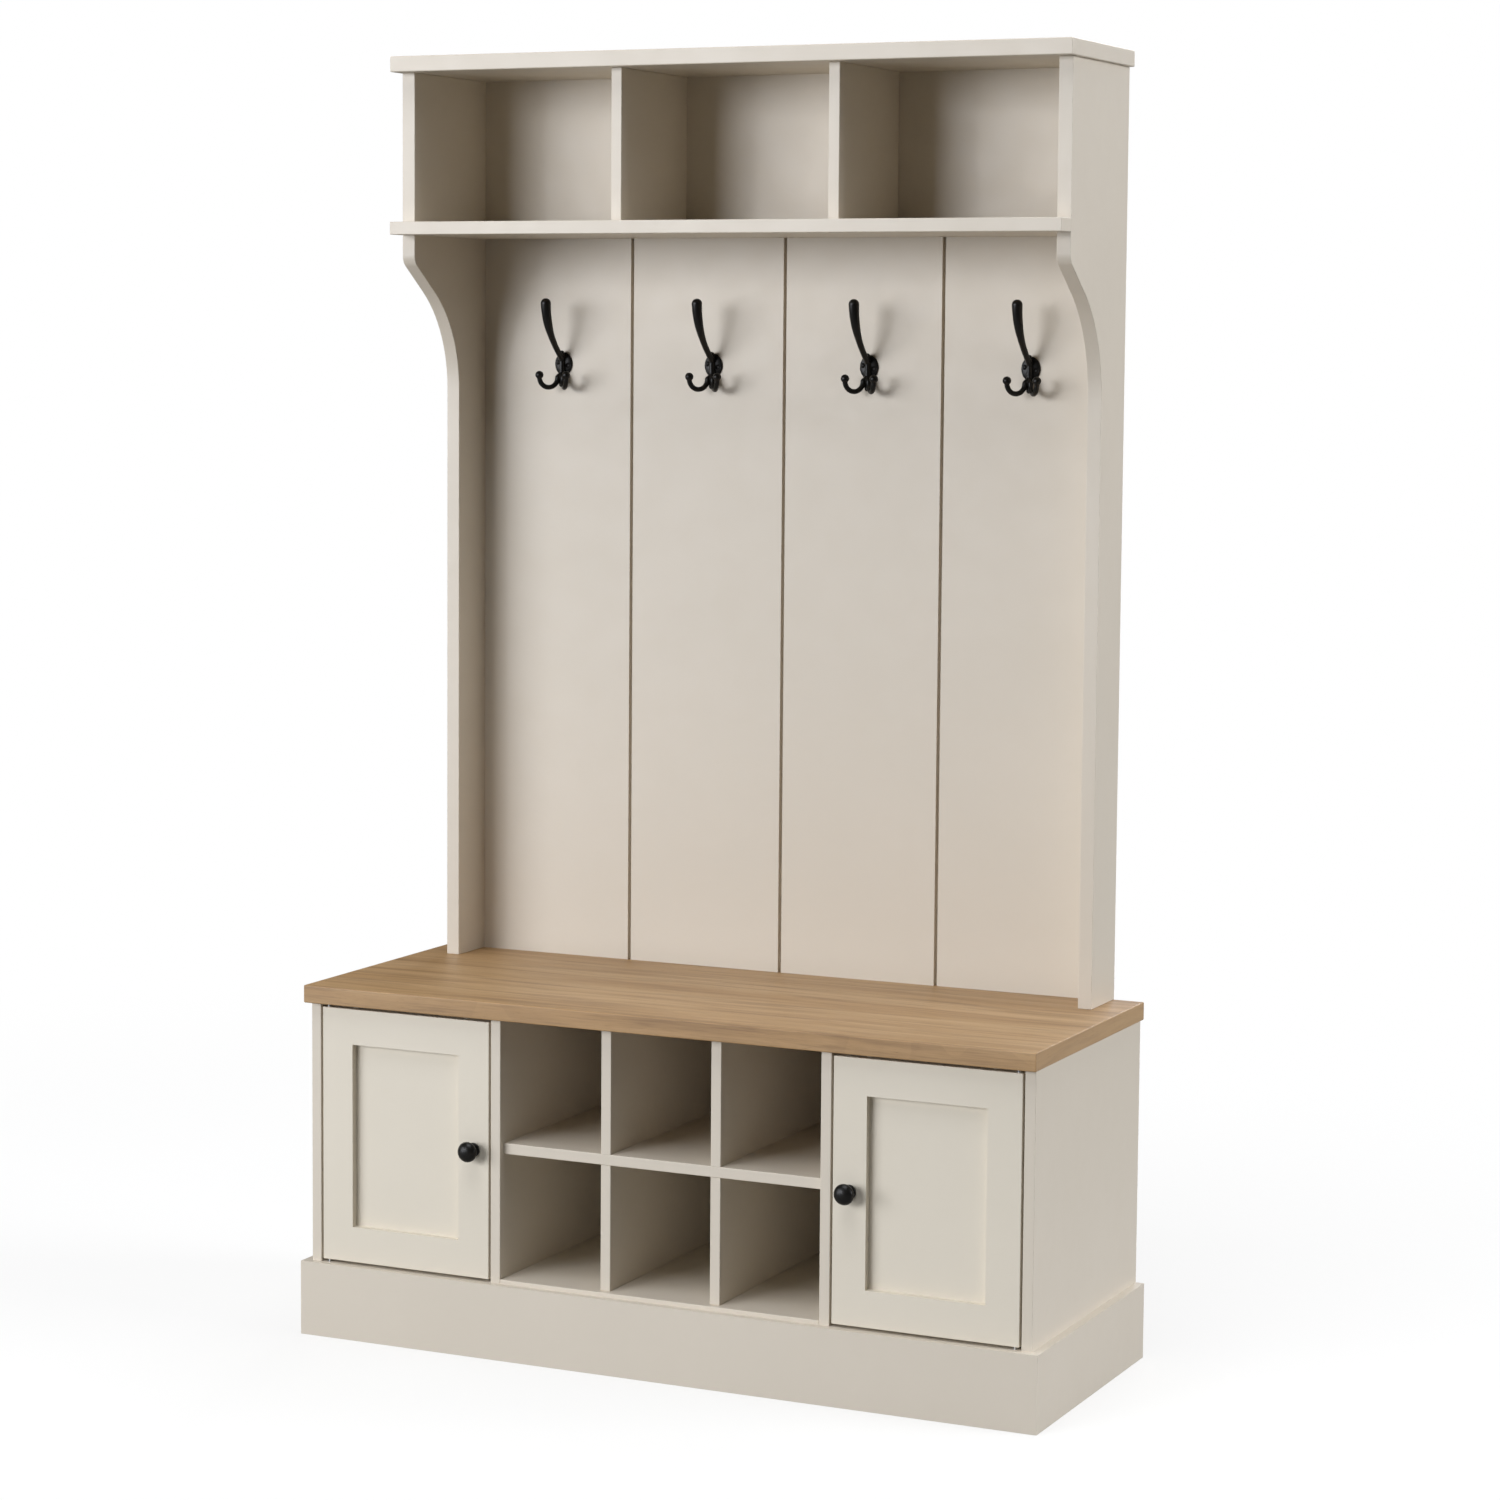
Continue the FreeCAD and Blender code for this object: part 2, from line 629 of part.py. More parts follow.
# ---- upper unit --------------------------------------------------------------------------
def upper_sides():
    """Side panels whose front edge sweeps back below the ledge in an ogee."""
    foot, top = size["bench_top_h"], cap_under
    deep, slim = size["upper_depth"], size["upright_depth"]
    slope = size["ogee_slope"]
    curve_top = ledge_under - size["ogee_drop"] - foot
    r_top, r_low = size["ogee_top_r"], size["ogee_hollow_r"]
    y1 = (1 - cosine(slope)) * r_top
    z1 = curve_top - sine(slope) * r_top
    y2 = deep - slim - (1 - cosine(slope)) * r_low
    z2 = z1 - (y2 - y1) * cosine(slope) / sine(slope)
    z3 = z2 - sine(slope) * r_low
    for name, side in SIDES:
        low_x = upper_in_x if side > 0 else -upper_x
        body = new_body("upper_side_" + name, low_x, upper_front, foot)
        feature = pad(body, "YZ_Plane", [
            (deep - slim, ZERO), (deep, ZERO), (deep, top - foot), (ZERO, top - foot),
            (ZERO, curve_top, r_top, 1), (y1, z1), (y2, z2, r_low, -1), (deep - slim, z3)],
            size["upper_side_t"])
        ease(body, feature, size["edge_r"])
        rows = [y - upper_front for _, y in upper_dowel_spots()[:2]]
        drill(body, "XY_Plane", [(size["upper_side_t"] / 2, y) for y in rows],
              size["dowel_r"], size["dowel_l"] * 2 / 3, flip=True, name="dowels")
    rod = Part.makeCylinder(size["dowel_r"].value, size["dowel_l"].value)
    pegs = []
    for x, y in upper_dowel_spots():
        peg = rod.copy()
        peg.translate(Vector(x.value, y.value, (foot - size["dowel_l"] / 3).value))
        pegs.append(peg)
    solid("upper_dowels", Part.makeCompound(pegs))


def cap_and_ledge():
    half = upper_x + size["cap_over_side"]
    board("cap_board", (-half, upper_front - size["cap_over_front"], cap_under),
          (half, back, size["total_height"]), size["edge_r"] * 1.5)
    lip = size["ledge_lip"]
    body = new_body("ledge_shelf", -upper_x, upper_front - lip, ledge_under)
    side_t, width = size["upper_side_t"], upper_x * 2
    deep = lip + back_rear - upper_front
    feature = pad(body, "XY_Plane", [
        (ZERO, ZERO), (width, ZERO), (width, lip), (width - side_t, lip),
        (width - side_t, deep), (side_t, deep), (side_t, lip), (ZERO, lip)],
        size["ledge_t"])
    ease(body, feature, size["edge_r"])


def cubbies():
    t = size["cubby_divider_t"]
    cubby_w = (2 * upper_in_x - 2 * t) / 3
    for name, side in SIDES:
        low_x = side * (cubby_w / 2 + t / 2) - t / 2
        board("cubby_divider_" + name, (low_x, upper_front, ledge_top),
              (low_x + t, back_face, cap_under))
    board("cubby_back", (-upper_in_x, back_face, ledge_top),
          (upper_in_x, back_rear, cap_under), None)


BOARDS = 4
HOOKS = 4


def back_boards():
    """Shiplapped boards: each tongue shows as the bottom of an open groove."""
    t = size["back_board_t"]
    pitch = 2 * upper_in_x / BOARDS
    gap, deep = size["back_groove_w"], size["back_groove_d"]
    height = ledge_under - size["bench_top_h"]
    for i in range(BOARDS):
        x0 = pitch * i - upper_in_x
        body = new_body("back_board_%d" % (i + 1), x0, back_face, size["bench_top_h"])
        left = ZERO if i == 0 else gap / 2
        if i == BOARDS - 1:
            corners = [(left, ZERO), (pitch, ZERO), (pitch, t), (left, t)]
        else:
            corners = [(left, ZERO), (pitch - gap / 2, ZERO), (pitch - gap / 2, deep),
                       (pitch + gap / 2, deep), (pitch + gap / 2, t), (left, t)]
        pad(body, "XY_Plane", corners, height)
        spots = [(hook_x(i) + dx - x0, hook_z + dz - size["bench_top_h"])
                 for dx, dz in screw_offsets()]
        drill(body, "XZ_Plane", spots, size["hook_screw_r"],
              size["hook_screw_l"] - size["hook_plate_t"] + size["hook_head_t"] * 2,
              name="screws")


def screw_offsets():
    return [(-size["hook_screw_x"], size["hook_screw_z"]),
            (size["hook_screw_x"], -size["hook_screw_z"])]


def hook_x(i):
    pitch = 2 * upper_in_x / HOOKS
    return pitch * (i + 0.5) - upper_in_x + size["hook_shift"]


def oval(shrink, height):
    """Upright ellipse, smaller than the plate by shrink, at a height off the wall."""
    half_w = size["hook_plate_w"].value / 2 - shrink
    half_h = size["hook_plate_h"].value / 2 - shrink
    edge = Part.Ellipse(Vector(0, half_h, height), Vector(half_w, 0, height),
                        Vector(0, 0, height))
    return Part.Wire(edge.toShape())


def hook_plate():
    """Oval plate with a sloping rim."""
    thick = size["hook_plate_t"].value
    rim = thick * 0.45
    return Part.makeLoft([oval(0, 0), oval(0, rim), oval(thick - rim, thick)], True, True)


def upper_prong():
    """Prong lofted through circles along its curve, with a rounded bulb at the tip."""
    start = Vector(0, size["hook_stem_up"].value * 0.45, size["hook_stem_out"].value)
    tip = Vector(0, size["hook_prong_up"].value, size["hook_prong_out"].value)
    curve = Part.BezierCurve()
    rise = tip - start
    curve.setPoles([start, start + Vector(0, rise.y * 0.22, rise.z * 0.42),
                    Vector(0, start.y + rise.y * 0.52, tip.z - 2.0), tip])
    neck, bulb = size["hook_neck_r"].value, size["hook_tip_r"].value
    rings = []
    for share, radius in ((0.0, neck), (0.2, neck), (0.45, neck * 1.12), (0.7, neck * 1.5),
                          (0.88, bulb * 0.93), (1.0, bulb)):
        centre = curve.value(share)
        along = curve.tangent(share)[0]
        rings.append(Part.Wire(Part.Circle(centre, along, radius).toShape()))
    arm = Part.makeLoft(rings, True, False)
    return arm.fuse(Part.makeSphere(bulb, tip))


def lower_prong(turn):
    """Half ring that rises to a ball, turned outward from straight ahead."""
    bend, wire = size["hook_bend_r"].value, size["hook_low_r"].value
    stem, start = size["hook_stem_out"].value, size["hook_low_start"].value
    centre = Vector(0, -size["hook_low_z"].value, stem + start + bend)
    ring = Part.makeTorus(bend, wire, centre, Vector(1, 0, 0))
    lower = Part.makeBox(4 * wire, 2 * bend, 4 * bend,
                         centre + Vector(-2 * wire, -2 * bend, -2 * bend))
    half = ring.common(lower)
    top = centre + Vector(0, size["hook_ball_up"].value, bend + 0.5)
    rise = Part.makeCylinder(wire, size["hook_ball_up"].value,
                             centre + Vector(0, 0, bend), Vector(0, 1, 0))
    link = Part.makeCylinder(wire, size["hook_ball_up"].value,
                             centre - Vector(0, 0, bend), Vector(0, 1, -0.6))
    prong = half.fuse([rise, link, Part.makeSphere(size["hook_ball_r"].value, top)])
    prong.rotate(Vector(0, 0, stem), Vector(0, 1, 0), turn)
    return prong


def hook_shape():
    """Cast triple hook in its own frame: X across, Y up, Z out from the wall."""
    r, out = size["hook_stem_r"].value, size["hook_stem_out"].value
    up, down = size["hook_stem_up"].value, size["hook_stem_down"].value
    stem = Part.makeCylinder(r, up + down, Vector(0, -down, out), Vector(0, 1, 0))
    ends = [Part.makeSphere(r, Vector(0, y, out)) for y in (up, -down)]
    splay = size["hook_splay"].value
    shape = hook_plate().fuse([stem] + ends + [upper_prong(), lower_prong(splay),
                                               lower_prong(-splay)])
    deep = size["hook_head_t"].value
    for dx, dz in screw_offsets():
        spot = Vector(dx.value, dz.value, 0)
        shape = shape.cut(Part.makeCylinder(size["hook_screw_r"].value, 40, spot))
        seat = spot + Vector(0, 0, size["hook_plate_t"].value - 2 * deep)
        shape = shape.cut(Part.makeCylinder(size["hook_head_r"].value, 12, seat))
    return shape.removeSplitter()


def hooks():
    shape = hook_shape()
    screws = []
    deep = size["hook_head_t"].value
    seat = size["hook_plate_t"].value - 2 * deep
    length = size["hook_screw_l"].value
    screw = Part.makeCylinder(size["hook_screw_r"].value, length,
                              Vector(0, 0, seat - length))
    screw = screw.fuse(Part.makeCylinder(size["hook_head_r"].value, deep,
                                         Vector(0, 0, seat))).removeSplitter()
    for i in range(HOOKS):
        centre = Vector(hook_x(i).value, back_face.value, hook_z.value)
        stand = Placement(centre, Rotation(Vector(1, 0, 0), 90))
        hook = solid("hook_%d" % (i + 1), shape)
        hook.Placement = stand
        for dx, dz in screw_offsets():
            piece = screw.copy()
            piece.Placement = stand.multiply(
                Placement(Vector(dx.value, dz.value, 0), Rotation()))
            screws.append(piece)
    solid("hook_screws", Part.makeCompound(screws))


def check_and_write():
    doc.recompute()
    for item in doc.Objects:
        if "Invalid" in item.State or "Error" in item.State:
            raise RuntimeError("%s failed: %s" % (item.Label, item.State))
    for node in nodes:
        if node.Shape.isNull() or not node.Shape.isValid() or not node.Shape.Solids:
            raise RuntimeError("bad shape in " + node.Label)
    os.makedirs("parts", exist_ok=True)
    for node in nodes:
        node.Shape.exportStep("parts/%s.step" % node.Label)


plinth()
carcass()
slot_boards()
bench()
for door_name, door_side in SIDES:
    door(door_name, door_side)
door_fittings()
upper_sides()
cap_and_ledge()
cubbies()
back_boards()
hooks()
check_and_write()
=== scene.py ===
"""Looks of a hall tree: painted boards, an oak seat, cast hooks and turned knobs.

Lengths are in metres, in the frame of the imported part. Each piece or group of like
pieces is made by one operator, and main() calls them in order.
"""

import math

import bpy
import numpy as np
from bpy.props import FloatProperty, FloatVectorProperty, IntProperty, PointerProperty
from mathutils import Matrix, Vector


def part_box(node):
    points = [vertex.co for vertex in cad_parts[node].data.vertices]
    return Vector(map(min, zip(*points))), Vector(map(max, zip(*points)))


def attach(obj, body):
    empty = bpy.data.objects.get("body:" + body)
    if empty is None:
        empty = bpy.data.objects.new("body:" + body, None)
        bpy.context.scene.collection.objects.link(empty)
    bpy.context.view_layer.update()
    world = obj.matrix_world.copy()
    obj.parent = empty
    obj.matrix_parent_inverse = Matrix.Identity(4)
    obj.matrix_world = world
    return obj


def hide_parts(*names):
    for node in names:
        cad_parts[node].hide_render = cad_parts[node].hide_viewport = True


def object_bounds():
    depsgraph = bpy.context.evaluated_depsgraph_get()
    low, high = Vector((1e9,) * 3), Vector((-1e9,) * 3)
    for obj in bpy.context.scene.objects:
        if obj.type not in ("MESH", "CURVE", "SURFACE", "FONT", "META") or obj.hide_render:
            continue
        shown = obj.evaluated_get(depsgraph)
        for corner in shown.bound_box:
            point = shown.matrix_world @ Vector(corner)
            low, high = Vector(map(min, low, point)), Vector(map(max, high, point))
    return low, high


bl_info = {
    "name": "Hall tree with hooks",
    "version": (1, 0, 0),
    "blender": (4, 5, 0),
    "location": "3D View > Sidebar > Hall tree",
    "description": "Paint, oak, hooks, knobs and a studio for a hall tree",
    "category": "Object",
}

HOOKS = ("hook_1", "hook_2", "hook_3", "hook_4")
DOORS = ("door_left", "door_right")
FULL_TURN = 2 * np.pi
TINY = 1e-6  # keeps a ring from closing to a point
SCREW_SEED = 11  # picks how far round each screw was driven

# Softboxes stand on a sphere round a point above the floor. Each has its name, its
# azimuth from straight in front towards the right and its elevation from level, both in
# degrees, and its width.
SOFTBOX_AIM = 1.0
SOFTBOX_DISTANCE = 8.0
SOFTBOX_COLOR = (0.92, 0.943, 1.0)
SOFTBOXES = (
    ("key", -21.5, 11, 2.4),
    ("left", -43, 4, 4.4),
    ("top", 0, 88, 5.3),
    ("front", 0, 60, 3.6),
    ("side", 100, 15, 3.9),
    ("back", 180, 25, 3.9),
)
WHITE = (1, 1, 1, 1)
FLOOR_COLOR = (0.92, 0.905, 0.86, 1)
FLOOR_HALF = 30.0
FLOOR_GAP = 0.0004  # between the object's lowest point and the floor
FLOOR_FADE = (1.2, 3.2)  # distances over which the floor turns to plain white
CAMERA_REACH = 100.0

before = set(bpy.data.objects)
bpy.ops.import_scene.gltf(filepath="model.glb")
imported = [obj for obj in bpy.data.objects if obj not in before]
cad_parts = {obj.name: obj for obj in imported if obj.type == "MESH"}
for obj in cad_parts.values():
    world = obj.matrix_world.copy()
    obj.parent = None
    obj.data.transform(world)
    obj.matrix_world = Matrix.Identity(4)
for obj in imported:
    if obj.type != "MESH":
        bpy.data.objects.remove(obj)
cad_low, cad_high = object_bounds()


# ---------------------------------------------------------------- sizes and colours

class FinishSettings(bpy.types.PropertyGroup):
    """Colours, sheens and relief of the finishes"""

    paint_color: FloatVectorProperty(
        name="Paint", description="Stone colour of the painted boards",
        subtype="COLOR", size=3, min=0, max=1, default=(0.68, 0.610, 0.503))
    # The door paint is the boards' paint made lighter: painted light on the doors,
    # standing in for light that falls on them.
    door_painted_light_color: FloatVectorProperty(
        name="Door paint", description="Slightly lighter stone colour of the doors",
        subtype="COLOR", size=3, min=0, max=1, default=(0.74, 0.675, 0.555))
    paint_roughness: FloatProperty(
        name="Paint roughness", description="Satin sheen of the paint, 0 for a mirror",
        subtype="FACTOR", min=0, max=1, default=0.42)
    stipple_depth: FloatProperty(
        name="Stipple depth", description="Height of the paint's fine roller texture",
        subtype="DISTANCE", unit="LENGTH", min=0, max=0.001, default=0.00006)
    oak_pale: FloatVectorProperty(
        name="Pale oak", description="Colour of the wood between its streaks",
        subtype="COLOR", size=3, min=0, max=1, default=(0.50, 0.322, 0.158))
    oak_deep: FloatVectorProperty(
        name="Deep oak", description="Colour of the darkest streaks",
        subtype="COLOR", size=3, min=0, max=1, default=(0.215, 0.122, 0.055))
    oak_roughness: FloatProperty(
        name="Oak roughness", description="Sheen of the matt lacquer on the seat",
        subtype="FACTOR", min=0, max=1, default=0.48)
    iron_color: FloatVectorProperty(
        name="Black iron", description="Colour of the coating on hooks and knobs",
        subtype="COLOR", size=3, min=0, max=1, default=(0.0080, 0.0072, 0.0062))
    iron_roughness: FloatProperty(
        name="Iron roughness", description="Sheen of the black coating",
        subtype="FACTOR", min=0, max=1, default=0.34)
    iron_specular: FloatProperty(
        name="Iron specular", description="Strength of the black coating's reflections",
        subtype="FACTOR", min=0, max=1, default=0.25)


class HookSettings(bpy.types.PropertyGroup):
    """Sizes of a cast triple hook and its screws"""

    plate_width: FloatProperty(
        name="Plate width", description="Width of the oval back plate",
        subtype="DISTANCE", unit="LENGTH", default=0.028)
    plate_height: FloatProperty(
        name="Plate height", description="Height of the oval back plate",
        subtype="DISTANCE", unit="LENGTH", default=0.034)
    plate_crown: FloatProperty(
        name="Plate crown", description="Thickness of the plate at its middle",
        subtype="DISTANCE", unit="LENGTH", default=0.0046)
    stem_out: FloatProperty(
        name="Stem offset", description="Distance from the wall to the stem's axis",
        subtype="DISTANCE", unit="LENGTH", default=0.007)
    stem_radius: FloatProperty(
        name="Stem radius", description="Radius of the upright stem over the plate",
        subtype="DISTANCE", unit="LENGTH", default=0.004)
    stem_up: FloatProperty(
        name="Stem above", description="Stem's axis above the plate's middle",
        subtype="DISTANCE", unit="LENGTH", default=0.016)
    stem_down: FloatProperty(
        name="Stem below", description="Stem's axis below the plate's middle",
        subtype="DISTANCE", unit="LENGTH", default=0.030)
    prong_out: FloatProperty(
        name="Prong reach",
        description="Distance from the wall to the upper tip's centre",
        subtype="DISTANCE", unit="LENGTH", default=0.057)
    prong_up: FloatProperty(
        name="Prong height", description="Upper tip's centre above the plate's middle",
        subtype="DISTANCE", unit="LENGTH", default=0.0871)
    neck_radius: FloatProperty(
        name="Neck radius",
        description="Radius of the upper prong where it leaves the stem",
        subtype="DISTANCE", unit="LENGTH", default=0.0042)
    tip_radius: FloatProperty(
        name="Tip radius", description="Radius of the upper prong's rounded tip",
        subtype="DISTANCE", unit="LENGTH", default=0.0075)
    wire_radius: FloatProperty(
        name="Lower prong radius", description="Radius of the two lower prongs",
        subtype="DISTANCE", unit="LENGTH", default=0.0036)
    bend_radius: FloatProperty(
        name="Bend radius", description="Radius of the lower prongs' half rings",
        subtype="DISTANCE", unit="LENGTH", default=0.0145)
    bend_start: FloatProperty(
        name="Bend start", description="Distance from the stem's axis to the half ring",
        subtype="DISTANCE", unit="LENGTH", default=0.0065)
    bend_drop: FloatProperty(
        name="Bend drop", description="Half ring's centre below the plate's middle",
        subtype="DISTANCE", unit="LENGTH", default=0.0195)
    ball_radius: FloatProperty(
        name="Ball radius", description="Radius of the balls on the lower prongs",
        subtype="DISTANCE", unit="LENGTH", default=0.006)
    ball_rise: FloatProperty(
        name="Ball rise", description="Ball's centre above the half ring's centre",
        subtype="DISTANCE", unit="LENGTH", default=0.0035)
    splay: FloatProperty(
        name="Splay", description="Angle that each lower prong turns outward",
        subtype="ANGLE", unit="ROTATION", default=math.radians(38))
    screw_across: FloatProperty(
        name="Screw offset across", description="Screws beside the plate's middle",
        subtype="DISTANCE", unit="LENGTH", default=0.0086)
    screw_up: FloatProperty(
        name="Screw offset up", description="Left screw above the plate's middle",
        subtype="DISTANCE", unit="LENGTH", default=0.0025)
    screw_head: FloatProperty(
        name="Screw head radius", description="Radius of the hook screws' heads",
        subtype="DISTANCE", unit="LENGTH", default=0.0028)
    skin_step: FloatProperty(
        name="Casting step", description="Grid on which the casting's parts are merged",
        subtype="DISTANCE", unit="LENGTH", default=0.0006)
    skin_rounds: IntProperty(
        name="Casting rounding", description="Smoothing passes over the merged casting",
        min=0, max=20, default=3)


class KnobSettings(bpy.types.PropertyGroup):
    """Sizes of a turned door knob"""

    head_radius: FloatProperty(
        name="Head radius", description="Radius of the knob's head",
        subtype="DISTANCE", unit="LENGTH", default=0.0142)
    neck_radius: FloatProperty(
        name="Neck radius", description="Radius of the knob's waist",
        subtype="DISTANCE", unit="LENGTH", default=0.0055)
    foot_radius: FloatProperty(
        name="Foot radius", description="Radius of the rose on the door",
        subtype="DISTANCE", unit="LENGTH", default=0.010)
    columns: IntProperty(
        name="Columns", description="Faces round the knob", min=12, max=256, default=96)


class StageSettings(bpy.types.PropertyGroup):
    """Camera, lights and floor"""

    camera_place: FloatVectorProperty(
        name="Camera place", description="Where the camera stands",
        subtype="TRANSLATION", unit="LENGTH", size=3,
        default=(2.211247, -4.642226, 1.405965))
    camera_yaw: FloatProperty(
        name="Yaw", description="Turn of the camera to its left from straight ahead",
        subtype="ANGLE", unit="ROTATION", default=math.radians(25.021))
    camera_pitch: FloatProperty(
        name="Pitch", description="How far the camera looks down",
        subtype="ANGLE", unit="ROTATION", default=0.0914)
    camera_roll: FloatProperty(
        name="Roll", description="Turn about the camera's own axis",
        subtype="ANGLE", unit="ROTATION", default=0.0079)
    camera_lens: FloatProperty(
        name="Lens", description="Focal length in millimetres", default=89.834)
    camera_rise: FloatProperty(
        name="Lens rise", description="Upright shift of the lens", default=-0.0447)
    key_power: FloatProperty(
        name="Key light", description="Power of the softbox in front on the left",
        subtype="POWER", default=205.0)
    left_power: FloatProperty(
        name="Left light", description="Power of the wide low softbox on the left",
        subtype="POWER", default=432.0)
    top_power: FloatProperty(
        name="Top light", description="Power of the wide overhead softbox",
        subtype="POWER", default=375.0)
    front_power: FloatProperty(
        name="Front light", description="Power of the high softbox in front",
        subtype="POWER", default=178.0)
    side_power: FloatProperty(
        name="Side light", description="Power of the softbox on the right",
        subtype="POWER", default=535.0)
    back_power: FloatProperty(
        name="Back light", description="Power of the softbox behind the object",
        subtype="POWER", default=220.0)
    fill: FloatProperty(
        name="Room fill", description="Brightness of the white room round the object",
        min=0, default=0.01)
    floor_glow: FloatProperty(
        name="Floor glow", description="Share of the pale floor's own brightness",
        subtype="FACTOR", min=0, max=1, default=0.7)
    floor_bounce: FloatProperty(
        name="Floor bounce", description="Light that the floor's glow throws back up",
        subtype="FACTOR", min=0, max=1, default=0.05)


class HallTreeSettings(bpy.types.PropertyGroup):
    """All the settings, kept on the scene"""

    finish: PointerProperty(type=FinishSettings, name="Finishes", description="Colours")
    hook: PointerProperty(type=HookSettings, name="Hooks", description="Hook sizes")
    knob: PointerProperty(type=KnobSettings, name="Knobs", description="Knob sizes")
    stage: PointerProperty(type=StageSettings, name="Studio", description="Studio")


# ---------------------------------------------------------------- shapes

def even_line(curve, count):
    """Points at equal steps along a polyline, and each one's distance from its start:
    every coordinate is interpolated over the running length."""
    steps = np.linalg.norm(np.diff(curve, axis=0), axis=1)
    length = np.concatenate([[0.0], np.cumsum(steps)])
    along = np.linspace(0, length[-1], count)
    points = np.stack([np.interp(along, length, axis) for axis in curve.T], axis=1)
    return points, along


def smooth_line(points, count):
    """Curve through every given point: between two neighbours it is the cubic whose
    slope at each is half the step from the point before to the point after."""
    finer = 4
    points = np.asarray(points, float)
    padded = np.vstack([2 * points[0] - points[1], points, 2 * points[-1] - points[-2]])
    steps = np.linspace(0, len(points) - 1, count * finer)
    first = np.minimum(steps.astype(int), len(points) - 2)
    t = (steps - first)[:, None]
    a, b, c, d = (padded[first + k] for k in range(4))
    curve = b + (c - a) * t / 2 + (2 * a - 5 * b + 4 * c - d) * t**2 / 2
    curve = curve + (3 * b - a - 3 * c + d) * t**3 / 2
    return even_line(curve, count)


def bezier(poles, count):
    """Cubic with poles a, b, c, d: each point is (1-t)^3 a + 3 (1-t)^2 t b +
    3 (1-t) t^2 c + t^3 d."""
    a, b, c, d = np.asarray(poles, float)
    t = np.linspace(0, 1, count)[:, None]
    return (1 - t)**3 * a + 3 * (1 - t)**2 * t * b + 3 * (1 - t) * t**2 * c + t**3 * d


def smooth_step(value, low, high):
    """0 below low and 1 above high, and 3s^2 - 2s^3 of the share s in between."""
    share = np.clip((value - low) / (high - low), 0, 1)
    return share * share * (3 - 2 * share)


def ball_radii(along, centre, radius):
    """Radius of a ball's slice at each distance along its axis: the root of
    r^2 - (s - c)^2."""
    return np.sqrt(np.maximum(radius**2 - (along - centre)**2, 0))


def ring_angles(columns):
    """Equal steps round a full turn, the last one a step short of the first."""
    return np.linspace(0, FULL_TURN, columns, endpoint=False)


def tube(path, radii, sideways, columns):
    """Round bar on a flat path: ring i is path i plus radius i times (cos a sideways +
    sin a up), with up square to both the path and sideways."""
    sideways = np.asarray(sideways, float)
    along = np.gradient(path, axis=0)
    along /= np.linalg.norm(along, axis=1, keepdims=True)
    up = np.cross(sideways, along)
    angle = ring_angles(columns)[None, :, None]
    spokes = np.cos(angle) * sideways + np.sin(angle) * up[:, None]
    return path[:, None] + radii[:, None, None] * spokes


def turned(profile, columns):
    """Profile of (radius, height) turned about the outward axis: a ring's points are
    (r cos a, -h, r sin a)."""
    angle = ring_angles(columns)
    radius, height = profile[:, :1], profile[:, 1:]
    flat = np.zeros_like(angle)
    return np.stack([radius * np.cos(angle), flat - height, radius * np.sin(angle)], -1)


def skin(rings):
    """Closed skin over a grid of rings: neighbours join as quads, each ring closes on
    itself, and each end ring closes as a fan to its own middle. A skin with a negative
    volume is turned inside out."""
    rows, columns, _ = rings.shape
    points = np.vstack([rings.reshape(-1, 3), rings[0].mean(0), rings[-1].mean(0)])
    row = np.arange(rows - 1)[:, None] * columns
    here = np.arange(columns)
    there = (here + 1) % columns
    quads = np.stack([row + here, row + there,
                      row + columns + there, row + columns + here], -1).reshape(-1, 4)
    last = (rows - 1) * columns
    pole = np.full(columns, rows * columns)
    fans = np.vstack([np.stack([pole, there, here], -1),
                      np.stack([pole + 1, last + here, last + there], -1)])
    triangles = np.vstack([quads[:, :3], quads[:, [0, 2, 3]], fans])
    a, b, c = (points[triangles[:, k]] for k in range(3))
    if np.einsum("ij,ij->", np.cross(a, b), c) < 0:
        quads, fans = quads[:, ::-1], fans[:, ::-1]
    return points, quads, fans


def mesh_object(name, skins):
    """Object at the origin that holds all the skins as one smooth-shaded mesh."""
    points, faces, count = [], [], 0
    for part, quads, fans in skins:
        points.append(part)
        faces += (quads + count).tolist() + (fans + count).tolist()
        count += len(part)
    mesh = bpy.data.meshes.new(name)
    mesh.from_pydata(np.vstack(points).tolist(), [], faces)
    mesh.polygons.foreach_set("use_smooth", np.ones(len(faces), bool))
    mesh.update()
    made = bpy.data.objects.new(name, mesh)
    bpy.context.scene.collection.objects.link(made)
    return made


def fit_piece(piece, body, slot, material, *nodes):
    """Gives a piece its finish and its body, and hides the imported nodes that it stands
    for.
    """
    piece.data.materials.clear()
    piece.data.materials.append(material)
    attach(piece, body)
    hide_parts(*nodes)


# ---------------------------------------------------------------- shader building

class Value:
    """One output socket of a node. Arithmetic on it adds Math nodes to its tree."""

    def __init__(self, tree, socket):
        self.tree = tree
        self.socket = socket

    def math(self, operation, first, second):
        """Math node on two numbers or values."""
        return self.tree.node("ShaderNodeMath", {"operation": operation},
                              {0: first, 1: second})

    def __add__(self, other):
        return self.math("ADD", self, other)

    def __sub__(self, other):
        return self.math("SUBTRACT", self, other)

    def __rsub__(self, other):
        return self.math("SUBTRACT", other, self)

    def __mul__(self, other):
        return self.math("MULTIPLY", self, other)

    def __gt__(self, other):
        return self.math("GREATER_THAN", self, other)

    __radd__ = __add__

    def swing(self, amount):
        """Noise from 0 to 1 as a swing about 0, worth amount from end to end."""
        return (self - 0.5) * amount


